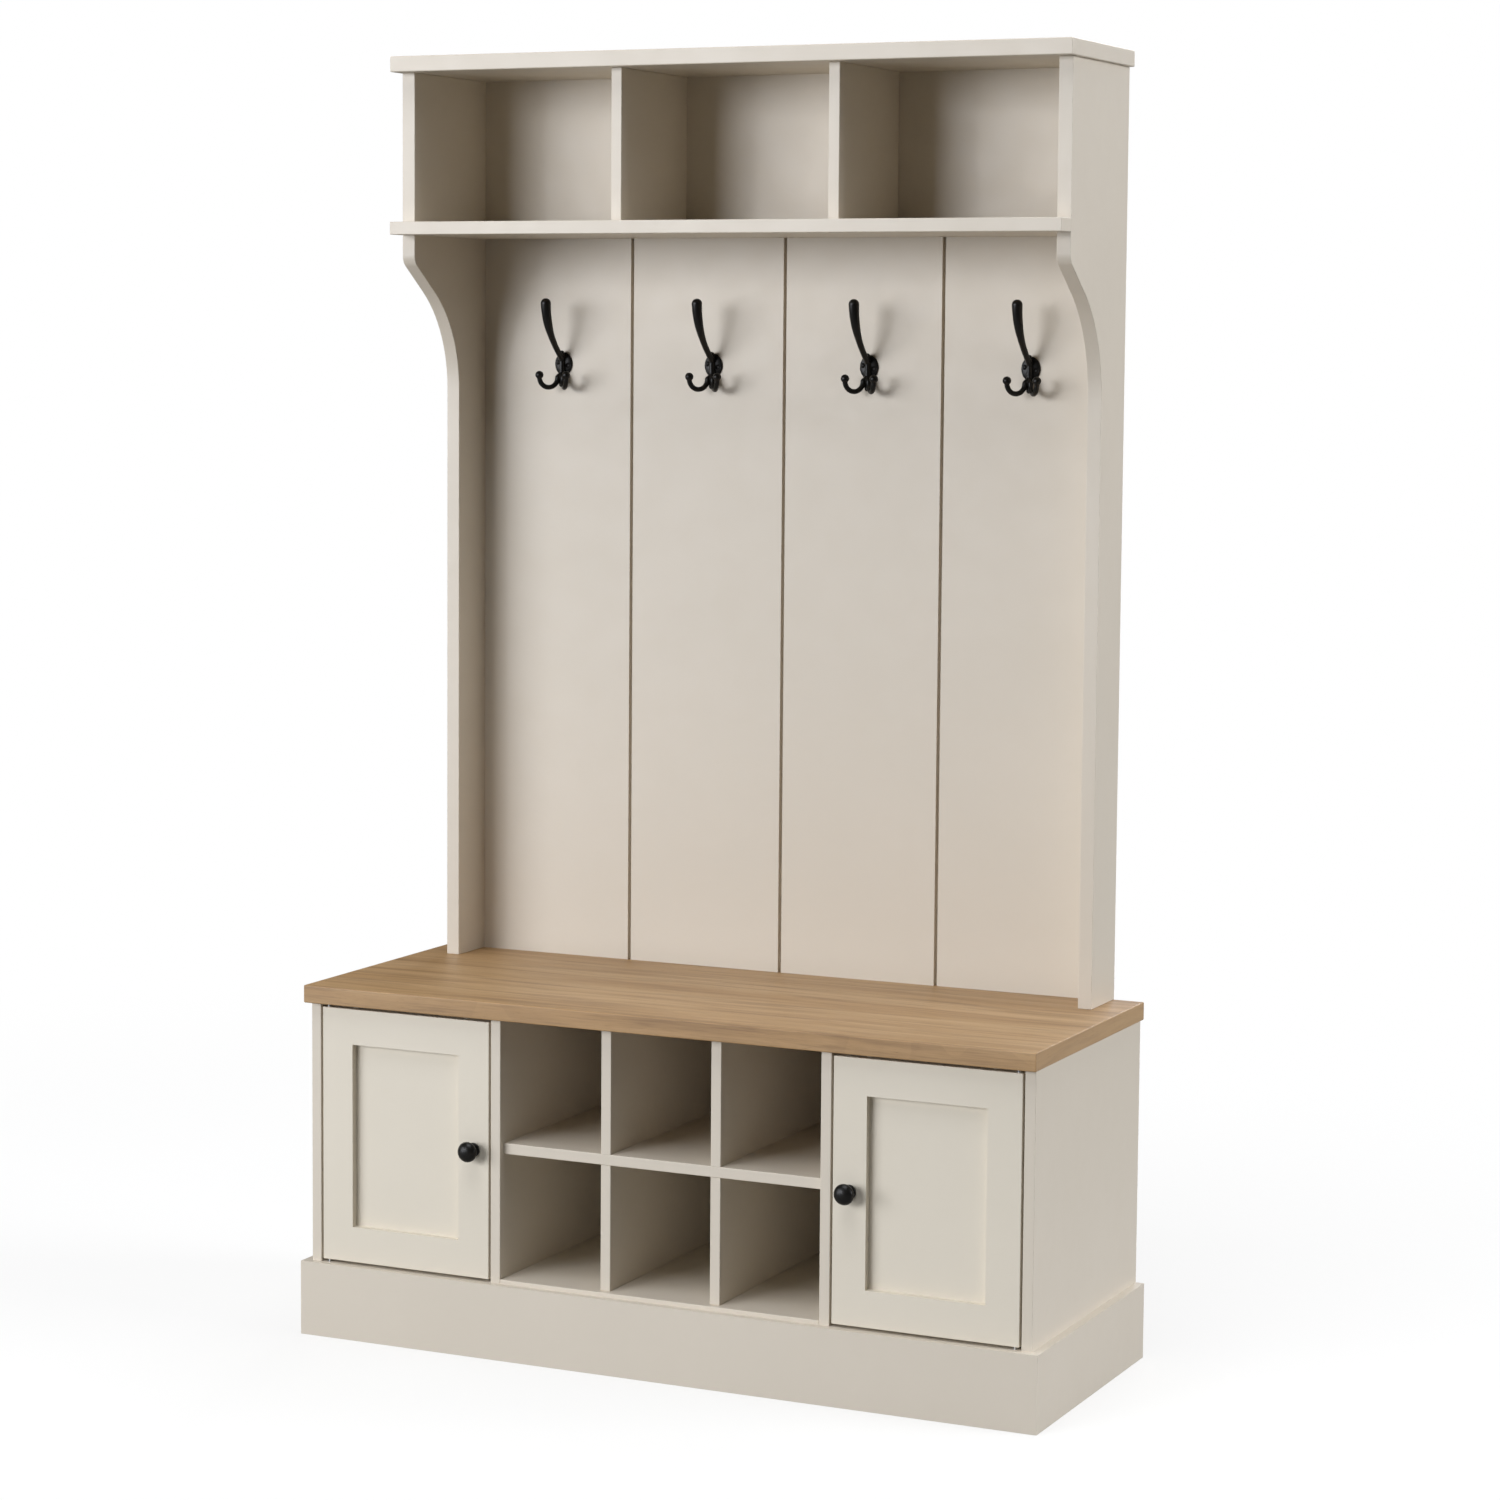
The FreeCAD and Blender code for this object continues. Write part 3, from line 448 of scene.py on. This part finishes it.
class Tree:
    """A node tree that is filled through node()."""

    def __init__(self, owner):
        owner.use_nodes = True
        self.nodes = owner.node_tree.nodes
        self.links = owner.node_tree.links
        self.nodes.clear()

    def node(self, kind, settings=None, sockets=None, output=0):
        """Adds a node, fills in its settings and sockets, and gives one output."""
        made = self.nodes.new(kind)
        for name, value in (settings or {}).items():
            setattr(made, name, value)
        for name, value in (sockets or {}).items():
            if isinstance(value, Value):
                self.links.new(value.socket, made.inputs[name])
            else:
                made.inputs[name].default_value = value
        return Value(self, made.outputs[output]) if len(made.outputs) else None

    def place(self):
        """The point on the piece, in metres."""
        return self.node("ShaderNodeTexCoord", output="Object")

    def facing(self):
        """The surface's outward direction on the piece."""
        return self.node("ShaderNodeTexCoord", output="Normal")

    def axes(self, vector):
        """The three parts of a vector."""
        split = self.nodes.new("ShaderNodeSeparateXYZ")
        self.links.new(vector.socket, split.inputs[0])
        return [Value(self, out) for out in split.outputs]

    def point(self, x, y, z):
        """The vector with these three parts."""
        return self.node("ShaderNodeCombineXYZ", sockets={0: x, 1: y, 2: z})

    def noise(self, vector, scale, detail, roughness=0.5, distortion=0.0, stretch=None):
        """Smooth noise from 0 to 1, with its scale per metre, or its stretch per metre
        and axis."""
        if stretch:
            vector = self.node("ShaderNodeVectorMath", {"operation": "MULTIPLY"},
                               {0: vector, 1: stretch})
        return self.node("ShaderNodeTexNoise", {"noise_dimensions": "3D"},
                         {"Vector": vector, "Scale": scale, "Detail": detail,
                          "Roughness": roughness, "Distortion": distortion})

    def spread(self, value, low, high, to_low=0.0, to_high=1.0):
        """Value rescaled from low..high to to_low..to_high with soft ends."""
        return self.node("ShaderNodeMapRange", {"interpolation_type": "SMOOTHSTEP"},
                         {0: value, 1: low, 2: high, 3: to_low, 4: to_high})

    def mix(self, share, first, second):
        """Colour that turns from first to second as share goes from 0 to 1. The node
        repeats its socket names for each data type, so they are given by number."""
        first, second = (end if isinstance(end, Value) else (*end, 1.0)
                         for end in (first, second))
        return self.node("ShaderNodeMix", {"data_type": "RGBA"},
                         {0: share, 6: first, 7: second}, output=2)

    def choose(self, share, first, second):
        """Vector that turns from first to second as share goes from 0 to 1."""
        return self.node("ShaderNodeMix", {"data_type": "VECTOR"},
                         {0: share, 4: first, 5: second}, output=1)

    def bump(self, height, depth, under=None):
        """Surface direction tilted by a height from 0 to 1, worth depth metres."""
        sockets = {"Height": height, "Distance": depth, "Strength": 1.0}
        if under:
            sockets["Normal"] = under
        return self.node("ShaderNodeBump", sockets=sockets)

    def surface(self, **sockets):
        """Principled surface as the tree's output. Names use _ for a space."""
        named = {name.replace("_", " "): value for name, value in sockets.items()}
        shader = self.node("ShaderNodeBsdfPrincipled", sockets=named)
        self.node("ShaderNodeOutputMaterial", sockets={"Surface": shader})


def new_finish(name):
    """A material and its empty tree."""
    material = bpy.data.materials.new(name)
    return material, Tree(material)


def tinted(color, factor):
    """Colour with each part multiplied by its factor."""
    return tuple(c * f for c, f in zip(color, factor))


def stone_paint(name, settings, color, wear=1.0):
    """Satin paint on smooth board: drifts of tone, roller stipple and long ripples.
    Wear is the strength of the darker clouds."""
    ripple_depth = 0.00022
    material, tree = new_finish(name)
    place = tree.place()
    drift = tree.noise(place, 2.3, 3.0, 0.55)
    cloud = tree.noise(place, 19.0, 4.0, 0.6)
    tone = tree.mix(tree.spread(drift, 0.3, 0.7), tinted(color, (0.978, 0.978, 0.976)),
                    tinted(color, (1.012, 1.012, 1.016)))
    tone = tree.mix(tree.spread(cloud, 0.35, 0.75) * 0.25 * wear, tone,
                    tinted(color, (0.965, 0.958, 0.945)))
    stipple = tree.noise(place, 1100.0, 2.0, 0.5)
    ripple = tree.noise(place, 60.0, 2.0, 0.5)
    sheen = settings.paint_roughness + cloud.swing(0.16) + stipple.swing(0.08)
    relief = tree.bump(ripple, ripple_depth, tree.bump(stipple, settings.stipple_depth))
    tree.surface(Base_Color=tone, Roughness=sheen, Normal=relief)
    return material


def oak(settings):
    """Oak with its grain along X, and along Y on the ends: slow bands of tone, arched
    growth lines, dark streaks and threads, fine fibres and short dark pores. The ends
    take their grain from a place apart from the top's."""
    end_shift = 0.31
    wander_across, wander_deep = 0.05, 0.02
    pore_depth, fibre_depth = 0.00010, 0.00005
    material, tree = new_finish("oak_seat")
    place = tree.place()
    x, y, z = tree.axes(place)
    end = tree.axes(tree.facing())[0]
    is_end = (end * end) > 0.5
    place = tree.choose(is_end, place, tree.point(y, z + end_shift, x))
    x, y, z = tree.axes(place)
    wander = tree.noise(place, 1.0, 2.0, 0.5, stretch=(1.6, 5.0, 5.0))
    shifted = tree.point(x, y + wander.swing(wander_across),
                         z + wander.swing(wander_deep))
    bands = tree.noise(shifted, 1.0, 3.0, 0.55, 0.2, stretch=(1.3, 17.0, 17.0))
    streaks = tree.noise(shifted, 1.0, 5.0, 0.6, 0.3, stretch=(3.2, 62.0, 62.0))
    threads = tree.noise(shifted, 1.0, 3.0, 0.6, stretch=(8.0, 260.0, 260.0))
    fibres = tree.noise(shifted, 1.0, 3.0, 0.65, stretch=(22.0, 900.0, 900.0))
    pores = tree.noise(shifted, 1.0, 2.0, 0.5, stretch=(55.0, 1500.0, 1500.0))
    growth = tree.node(
        "ShaderNodeTexWave",
        {"wave_type": "BANDS", "bands_direction": "Y", "wave_profile": "SAW"},
        {"Vector": shifted, "Scale": 11.0, "Distortion": 9.0, "Detail": 2.0,
         "Detail Scale": 0.55, "Detail Roughness": 0.5})
    pale, deep = settings.oak_pale, settings.oak_deep
    warm = tinted(pale, (0.82, 0.76, 0.66))
    color = tree.mix(tree.spread(bands, 0.36, 0.64), pale, warm)
    dark = (tree.spread(streaks, 0.47, 0.72) * 0.58
            + tree.spread(growth, 0.55, 1.0) * 0.14)
    color = tree.mix(dark, color, deep)
    color = tree.mix(tree.spread(threads, 0.50, 0.70) * 0.44, color, deep)
    color = tree.mix(tree.spread(fibres, 0.40, 0.72) * 0.22, color, deep)
    light = tree.spread(streaks, 0.50, 0.24) * 0.30
    color = tree.mix(light, color, tinted(pale, (1.16, 1.15, 1.15)))
    color = tree.mix(is_end * 0.45, color, tinted(pale, (0.90, 0.98, 1.20)))
    pit = tree.spread(pores, 0.66, 0.74)
    color = tree.mix(pit * 0.38, color, tinted(deep, (0.62, 0.58, 0.54)))
    sheen = settings.oak_roughness + streaks.swing(0.14) + pit * 0.12
    relief = tree.bump(1 - pit, pore_depth, tree.bump(fibres, fibre_depth))
    tree.surface(Base_Color=color, Roughness=sheen, Normal=relief)
    return material


def black_iron(name, settings, lift=1.0):
    """Satin black coating over a casting: fine grain, soft lumps and rubbed spots.
    Lift brightens the colour."""
    lump_depth, grain_depth = 0.00020, 0.00003
    material, tree = new_finish(name)
    place = tree.place()
    lumps = tree.noise(place, 170.0, 3.0, 0.55)
    grain = tree.noise(place, 1900.0, 2.0, 0.5)
    rubbed = tree.spread(tree.noise(place, 75.0, 4.0, 0.6), 0.52, 0.74)
    base = tinted(settings.iron_color, (lift, lift, lift))
    color = tree.mix(rubbed * 0.7, base, tinted(base, (1.75, 1.6, 1.45)))
    sheen = settings.iron_roughness + lumps.swing(0.16) - rubbed * 0.05
    relief = tree.bump(lumps, lump_depth, tree.bump(grain, grain_depth))
    tree.surface(Base_Color=color, Roughness=sheen, Normal=relief,
                 Specular_IOR_Level=settings.iron_specular)
    return material


def zinc_steel():
    """Zinc-plated steel: brushed along Z, with cloudy patches in its plating."""
    dull, bright = (0.52, 0.53, 0.55), (0.66, 0.66, 0.65)
    brush_depth = 0.00003
    material, tree = new_finish("zinc_steel")
    place = tree.place()
    brushed = tree.noise(place, 1.0, 3.0, 0.6, stretch=(1800.0, 1800.0, 70.0))
    cloud = tree.noise(place, 140.0, 3.0, 0.6)
    color = tree.mix(tree.spread(cloud, 0.3, 0.7), dull, bright)
    tree.surface(Base_Color=color, Metallic=1.0,
                 Roughness=0.30 + brushed.swing(0.2) + cloud.swing(0.1),
                 Normal=tree.bump(brushed, brush_depth))
    return material


def moulded(name, color, roughness):
    """Moulded plastic: fine spark-eroded grain and a faint change of tone."""
    grain_depth = 0.00004
    material, tree = new_finish(name)
    place = tree.place()
    grain = tree.noise(place, 1400.0, 2.0, 0.6)
    cloud = tree.noise(place, 45.0, 2.0, 0.5)
    tone = tree.mix(cloud, tinted(color, (0.95, 0.95, 0.94)), color)
    tree.surface(Base_Color=tone, Roughness=roughness + grain.swing(0.2),
                 Normal=tree.bump(grain, grain_depth))
    return material


def bare_beech():
    """Bare beech dowel: pale wood with short dark flecks along Z."""
    pale, brown, dark = (0.66, 0.48, 0.31), (0.50, 0.34, 0.20), (0.36, 0.22, 0.12)
    grain_depth = 0.00005
    material, tree = new_finish("bare_beech")
    place = tree.place()
    grain = tree.noise(place, 1.0, 3.0, 0.6, stretch=(260.0, 260.0, 22.0))
    flecks = tree.noise(place, 1.0, 1.0, stretch=(900.0, 900.0, 130.0))
    color = tree.mix(grain, pale, brown)
    color = tree.mix(tree.spread(flecks, 0.62, 0.7) * 0.5, color, dark)
    tree.surface(Base_Color=color, Roughness=0.6 + grain.swing(0.15),
                 Normal=tree.bump(grain, grain_depth))
    return material


def finish_named(name):
    """The material of that name, made by an operator that ran before."""
    material = bpy.data.materials.get(name)
    if material is None:
        raise RuntimeError("run the finish operators before the pieces: no " + name)
    return material


def cover(slots):
    """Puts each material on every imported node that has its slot."""
    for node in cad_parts.values():
        for holder in node.material_slots:
            wanted = slots.get(holder.material.name.split(".")[0])
            if wanted:
                holder.material = wanted


# ---------------------------------------------------------------- hook, screw and knob

def plate_skin(hook):
    """Oval plate as nested rings (a u cos t, -h, b u sin t): h rises from the rim by
    the crown times (1 - u^2)^0.7, and dips to a flat seat round each screw."""
    rows, columns = 70, 144
    innermost = 0.01
    rim, fullness = 0.0016, 0.7
    seat, seat_gap, bowl_gap, bowl_depth = 0.0023, 0.0002, 0.0012, 0.01
    angle = ring_angles(columns)[None, :]
    share = np.linspace(innermost, 1, rows)[:, None]
    across = hook.plate_width / 2 * share * np.cos(angle)
    upward = hook.plate_height / 2 * share * np.sin(angle)
    height = rim + (hook.plate_crown - rim) * (1 - share**2)**fullness
    for side in (-1, 1):
        gap = np.hypot(across - side * hook.screw_across, upward + side * hook.screw_up)
        wall = smooth_step(gap, hook.screw_head + seat_gap, hook.screw_head + bowl_gap)
        height = np.minimum(height, seat + wall * bowl_depth)
    front = np.stack([across, -height, upward], -1)
    back = front[::-1].copy()
    back[..., 1] = 0
    return skin(np.concatenate([front, back]))


def stem_skin(hook):
    """Upright bar over the plate with round ends, a little stouter at its foot."""
    rows, columns = 160, 40
    slimness, swelling, swell_start = 0.9, 0.12, 0.010
    radius = hook.stem_radius
    path = np.array([[0, -hook.stem_out, hook.stem_up + radius],
                     [0, -hook.stem_out, -hook.stem_down - radius]])
    path, along = even_line(path, rows)
    body = radius * (slimness + swelling * smooth_step(along, swell_start, along[-1]))
    middle = (along >= radius) & (along <= along[-1] - radius)
    ends = np.maximum(ball_radii(along, radius, radius * slimness),
                      ball_radii(along, along[-1] - radius, radius))
    return skin(tube(path, np.where(middle, body, ends) + TINY, (1, 0, 0), columns))


def upper_prong_skin(hook):
    """Prong on a cubic that leaves the plate forward and turns upright; its radius
    swells from the neck to the tip and ends in a half ball."""
    arm_points, rows, columns, station_points = 400, 420, 48, 60
    root_height = 0.45
    first_out, first_up, second_up = 0.42, 0.22, 0.52
    lean = 0.002
    start = np.array([0, hook.stem_out, hook.stem_up * root_height])
    tip = np.array([0, hook.prong_out, hook.prong_up])
    rise = tip - start
    poles = np.array([start, start + rise * (0, first_out, first_up),
                      (0, tip[1] - lean, start[2] + rise[2] * second_up), tip])
    arm = bezier(poles, arm_points)
    direction = (arm[-1] - arm[-2]) / np.linalg.norm(arm[-1] - arm[-2])
    path, along = even_line(np.vstack([arm, tip + direction * hook.tip_radius]), rows)
    bulb = along[-1] - hook.tip_radius
    neck, end = hook.neck_radius, hook.tip_radius
    stations, _ = smooth_line([(0, neck), (0.2, neck), (0.45, neck * 1.12),
                               (0.7, neck * 1.5), (0.88, end * 0.93), (1, end)],
                              station_points)
    body = np.interp(along / bulb, stations[:, 0], stations[:, 1])
    radii = np.where(along < bulb, body, ball_radii(along, bulb, end)) + TINY
    path[:, 1] *= -1
    return skin(tube(path, radii, (1, 0, 0), columns))


def lower_prong_skin(hook, turn):
    """Half ring in an upright plane that is turned outward from straight ahead, with a
    short root in the stem and a ball above its far end."""
    ring_points, rows, columns = 200, 320, 40
    root_out, root_up, lean = 0.001, 0.0045, 0.0004
    swelling, swell_length = 0.12, 0.02
    bend, drop, wire = hook.bend_radius, hook.bend_drop, hook.wire_radius
    centre = hook.bend_start + bend
    sweep = np.linspace(FULL_TURN / 2, FULL_TURN, ring_points)
    ring = np.stack([centre + bend * np.cos(sweep), bend * np.sin(sweep) - drop], -1)
    root = (root_out, root_up - drop)
    top = (centre + bend + lean, -drop + hook.ball_rise + hook.ball_radius)
    path, along = even_line(np.vstack([root, ring, top]), rows)
    ball = along[-1] - hook.ball_radius
    body = wire * (1 + swelling - swelling * smooth_step(along, 0, swell_length))
    radii = np.maximum(np.where(along < ball, body, 0),
                       ball_radii(along, ball, hook.ball_radius)) + TINY
    side = np.array([np.cos(turn), -np.sin(turn), 0.0])
    ahead = np.array([-np.sin(turn), -np.cos(turn), 0.0])
    bar = path[:, :1] * ahead + path[:, 1:] * np.array([0, 0, 1.0])
    bar[:, 1] -= hook.stem_out
    return skin(tube(bar, radii, side, columns))


def casting(hook):
    """The five closed skins of one hook merged on a fine grid and smoothed, as one mesh
    whose origin is the plate's middle on the wall."""
    rough = mesh_object("hook_rough", [
        plate_skin(hook), stem_skin(hook), upper_prong_skin(hook),
        lower_prong_skin(hook, hook.splay), lower_prong_skin(hook, -hook.splay)])
    merge = rough.modifiers.new("merge", "REMESH")
    merge.mode = "VOXEL"
    merge.voxel_size = hook.skin_step
    merge.use_smooth_shade = True
    soften = rough.modifiers.new("soften", "SMOOTH")
    soften.factor = 0.5
    soften.iterations = hook.skin_rounds
    ready = rough.evaluated_get(bpy.context.evaluated_depsgraph_get())
    mesh = bpy.data.meshes.new_from_object(ready)
    bpy.data.objects.remove(rough)
    return mesh


def hook_middle(node, hook):
    """Middle of a hook's plate on the wall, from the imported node's box."""
    low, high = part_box(node)
    middle_z = high.z - hook.prong_up - hook.tip_radius
    return Vector(((low.x + high.x) / 2, high.y, middle_z))


def screw_skin(hook, turn):
    """Pan-head screw turned from its profile, with a cross sunk into the head: the
    surface falls by the recess's depth where a point is inside either arm."""
    crown_rows, columns = 40, 72
    head, rim, dome_height = hook.screw_head, 0.0008, 0.0012
    shank, shank_length, point, point_length = 0.0016, 0.0045, 0.0002, 0.0062
    arm, arm_edge, reach, reach_edge = 0.00034, 0.00018, 0.0017, 0.0003
    recess = 0.0009
    share = np.linspace(0.03, 1, crown_rows)
    dome = dome_height * np.sqrt(1.001 - share**2) + rim
    below = [(head, 0), (shank, 0), (shank, -shank_length), (point, -point_length)]
    rings = turned(np.vstack([np.stack([head * share, dome], -1), below]), columns)
    x, z = rings[..., 0], rings[..., 2]
    inside = [(1 - smooth_step(np.abs(across), arm, arm + arm_edge))
              * (1 - smooth_step(np.abs(length), reach, reach + reach_edge))
              for across, length in ((x, z), (z, x))]
    sunk = np.maximum(*inside) * recess
    sunk[crown_rows:] = 0
    rings[..., 1] += sunk
    cos, sin = np.cos(turn), np.sin(turn)
    spin = np.array([[cos, 0, -sin], [0, 1, 0], [sin, 0, cos]])
    return skin(rings @ spin.T)


def knob_skin(knob, reach):
    """Knob turned from a smooth line through its rose, waist, rim and domed nose."""
    rows = 150
    head, neck, foot = knob.head_radius, knob.neck_radius, knob.foot_radius
    line = [(foot * 0.97, 0.0), (foot, 0.0007), (foot, 0.0024), (foot * 0.95, 0.0034),
            (foot * 0.80, 0.0042), (neck * 1.16, 0.0056), (neck, 0.0080),
            (neck * 1.02, 0.0104), (neck * 1.28, 0.0122), (head * 0.76, 0.0133),
            (head * 0.93, 0.0146), (head, 0.0172), (head * 0.985, 0.0193),
            (head * 0.90, reach - 0.0053), (head * 0.73, reach - 0.0029),
            (head * 0.48, reach - 0.0011), (head * 0.22, reach - 0.0002),
            (head * 0.02, reach)]
    profile, _ = smooth_line(line, rows)
    profile[:, 0] = np.minimum(profile[:, 0], head)
    profile[:, 1] = np.clip(profile[:, 1], 0, reach)
    return skin(turned(profile, knob.columns))


# ---------------------------------------------------------------- operators

class HALLTREE_OT_paint(bpy.types.Operator):
    """Paint the boards, doors and back panels"""

    bl_idname = "halltree.paint"
    bl_label = "Paint the boards"

    def execute(self, context):
        settings = context.scene.hall_tree.finish
        # The doors take the lighter copy of the paint, which is painted light rather than
        # a different paint.
        boards, doors = settings.paint_color, settings.door_painted_light_color
        cover({"paint": stone_paint("stone_paint", settings, boards),
               "door_paint": stone_paint("stone_paint_doors", settings, doors, 0.8),
               "back_paint": stone_paint("stone_paint_back", settings, boards, 1.6)})
        return {"FINISHED"}


class HALLTREE_OT_oak(bpy.types.Operator):
    """Give the seat its oak"""

    bl_idname = "halltree.oak"
    bl_label = "Oak seat"

    def execute(self, context):
        cover({"oak": oak(context.scene.hall_tree.finish)})
        return {"FINISHED"}


class HALLTREE_OT_fittings(bpy.types.Operator):
    """Finish the pins, screws, catches, bushes and dowels"""

    bl_idname = "halltree.fittings"
    bl_label = "Finish the fittings"

    def execute(self, context):
        settings = context.scene.hall_tree.finish
        cover({"black_metal": black_iron("black_iron", settings),
               "black_screw": black_iron("black_screws", settings, 1.25),
               "steel": zinc_steel(),
               "nylon": moulded("nylon", (0.74, 0.73, 0.69), 0.5),
               "catch": moulded("catch_case", (0.80, 0.78, 0.74), 0.42),
               "beech": bare_beech()})
        return {"FINISHED"}


class HALLTREE_OT_hooks(bpy.types.Operator):
    """Cast the four triple hooks"""

    bl_idname = "halltree.hooks"
    bl_label = "Cast the hooks"

    def execute(self, context):
        hook = context.scene.hall_tree.hook
        material = finish_named("black_iron")
        shape = casting(hook)
        for node in HOOKS:
            mesh = shape.copy()
            mesh.transform(Matrix.Translation(hook_middle(node, hook)))
            piece = bpy.data.objects.new("cast_" + node, mesh)
            context.scene.collection.objects.link(piece)
            fit_piece(piece, "carcass", "black_metal", material, node)
        bpy.data.meshes.remove(shape)
        return {"FINISHED"}


class HALLTREE_OT_screws(bpy.types.Operator):
    """Drive two cross-head screws through each hook"""

    bl_idname = "halltree.screws"
    bl_label = "Drive the hook screws"

    def execute(self, context):
        hook = context.scene.hall_tree.hook
        sunk = 0.0021
        random = np.random.default_rng(SCREW_SEED)
        turns = random.uniform(0, math.pi / 2, len(HOOKS) * 2)
        skins = []
        for i, node in enumerate(HOOKS):
            middle = np.array(hook_middle(node, hook))
            for k, side in enumerate((-1, 1)):
                points, quads, fans = screw_skin(hook, turns[2 * i + k])
                seat = (side * hook.screw_across, -sunk, -side * hook.screw_up)
                skins.append((points + middle + seat, quads, fans))
        piece = mesh_object("hook_screw_heads", skins)
        material = finish_named("black_screws")
        fit_piece(piece, "carcass", "black_screw", material, "hook_screws")
        return {"FINISHED"}


class HALLTREE_OT_knobs(bpy.types.Operator):
    """Turn the two door knobs"""

    bl_idname = "halltree.knobs"
    bl_label = "Turn the knobs"

    def execute(self, context):
        knob = context.scene.hall_tree.knob
        material = finish_named("black_iron")
        for door in DOORS:
            low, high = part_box(door + "_knob")
            points, quads, fans = knob_skin(knob, high.y - low.y)
            foot = ((low.x + high.x) / 2, high.y, (low.z + high.z) / 2)
            piece = mesh_object("turned_knob_" + door, [(points + foot, quads, fans)])
            fit_piece(piece, door, "black_metal", material, door + "_knob")
        return {"FINISHED"}


def softbox(name, azimuth, elevation, width, power):
    """Square area light on a sphere round the aim, turned to face it. Its azimuth and
    elevation are in degrees."""
    aim = Vector((0, 0, SOFTBOX_AIM))
    turn, lift = math.radians(azimuth), math.radians(elevation)
    away = Vector((math.sin(turn) * math.cos(lift), -math.cos(turn) * math.cos(lift),
                   math.sin(lift)))
    light = bpy.data.lights.new(name, "AREA")
    light.shape = "SQUARE"
    light.size = width
    light.energy = power
    light.color = SOFTBOX_COLOR
    holder = bpy.data.objects.new(name, light)
    holder.location = aim + away * SOFTBOX_DISTANCE
    holder.rotation_euler = (-away).to_track_quat("-Z", "Y").to_euler()
    bpy.context.scene.collection.objects.link(holder)


def pale_floor(stage):
    """Wide pale floor, matt near the object and plain white where it meets the room."""
    mesh = bpy.data.meshes.new("floor")
    corners = [(x * FLOOR_HALF, y * FLOOR_HALF, 0)
               for x, y in ((-1, -1), (1, -1), (1, 1), (-1, 1))]
    mesh.from_pydata(corners, [], [(0, 1, 2, 3)])
    floor = bpy.data.objects.new("floor", mesh)
    floor.location.z = cad_low.z - FLOOR_GAP
    bpy.context.scene.collection.objects.link(floor)
    material, tree = new_finish("pale_floor")
    place = tree.place()
    far = tree.node("ShaderNodeVectorMath", {"operation": "LENGTH"},
                    {0: place}, output="Value")
    matt = tree.node("ShaderNodeBsdfDiffuse", sockets={"Color": FLOOR_COLOR})
    seen = tree.node("ShaderNodeLightPath", output="Is Camera Ray")
    strength = stage.floor_bounce + seen * (1 - stage.floor_bounce)
    glow = tree.node("ShaderNodeEmission",
                     sockets={"Color": WHITE, "Strength": strength})
    share = tree.spread(far, *FLOOR_FADE, stage.floor_glow, 1.0)
    surface = tree.node("ShaderNodeMixShader", sockets={0: share, 1: matt, 2: glow})
    tree.node("ShaderNodeOutputMaterial", sockets={"Surface": surface})
    mesh.materials.append(material)


def white_room(stage):
    """World that shows white and lights with its own softer fill."""
    world = bpy.data.worlds.new("white_room")
    bpy.context.scene.world = world
    tree = Tree(world)
    seen = tree.node("ShaderNodeLightPath", output="Is Camera Ray")
    fill = tree.node("ShaderNodeBackground",
                     sockets={"Color": WHITE, "Strength": stage.fill})
    white = tree.node("ShaderNodeBackground",
                      sockets={"Color": WHITE, "Strength": 1.0})
    both = tree.node("ShaderNodeMixShader", sockets={0: seen, 1: fill, 2: white})
    tree.node("ShaderNodeOutputWorld", sockets={"Surface": both})


class HALLTREE_OT_stage(bpy.types.Operator):
    """Set up the floor, the soft lights and the camera"""

    bl_idname = "halltree.stage"
    bl_label = "Set up the studio"

    def execute(self, context):
        scene = context.scene
        stage = scene.hall_tree.stage
        pale_floor(stage)
        white_room(stage)
        for name, azimuth, elevation, width in SOFTBOXES:
            power = getattr(stage, name + "_power")
            softbox(name + "_softbox", azimuth, elevation, width, power)
        lens = bpy.data.cameras.new("camera")
        lens.lens = stage.camera_lens
        lens.shift_y = stage.camera_rise
        lens.clip_end = CAMERA_REACH
        camera = bpy.data.objects.new("camera", lens)
        turn = (Matrix.Rotation(stage.camera_yaw, 4, "Z")
                @ Matrix.Rotation(math.pi / 2 - stage.camera_pitch, 4, "X")
                @ Matrix.Rotation(stage.camera_roll, 4, "Z"))
        camera.matrix_world = Matrix.Translation(stage.camera_place) @ turn
        scene.collection.objects.link(camera)
        scene.camera = camera
        scene.view_settings.view_transform = "Standard"
        scene.view_settings.look = "None"
        return {"FINISHED"}


# ---------------------------------------------------------------- panel and start

OPERATORS = (HALLTREE_OT_paint, HALLTREE_OT_oak, HALLTREE_OT_fittings,
             HALLTREE_OT_hooks, HALLTREE_OT_screws, HALLTREE_OT_knobs,
             HALLTREE_OT_stage)


class HALLTREE_PT_panel(bpy.types.Panel):
    """Lists the hall tree's pieces and its studio"""

    bl_label = "Hall tree"
    bl_space_type = "VIEW_3D"
    bl_region_type = "UI"
    bl_category = "Hall tree"

    def draw(self, context):
        for operator in OPERATORS:
            self.layout.operator(operator.bl_idname)


CLASSES = (FinishSettings, HookSettings, KnobSettings, StageSettings, HallTreeSettings,
           *OPERATORS, HALLTREE_PT_panel)


def register():
    """Adds the classes and the scene's settings."""
    for item in CLASSES:
        bpy.utils.register_class(item)
    bpy.types.Scene.hall_tree = PointerProperty(type=HallTreeSettings)


def unregister():
    """Takes them away again, in reverse."""
    del bpy.types.Scene.hall_tree
    for item in reversed(CLASSES):
        bpy.utils.unregister_class(item)


def main():
    """Runs every operator in order."""
    register()
    bpy.ops.halltree.paint()
    bpy.ops.halltree.oak()
    bpy.ops.halltree.fittings()
    bpy.ops.halltree.hooks()
    bpy.ops.halltree.screws()
    bpy.ops.halltree.knobs()
    bpy.ops.halltree.stage()


if __name__ == "__main__":
    main()
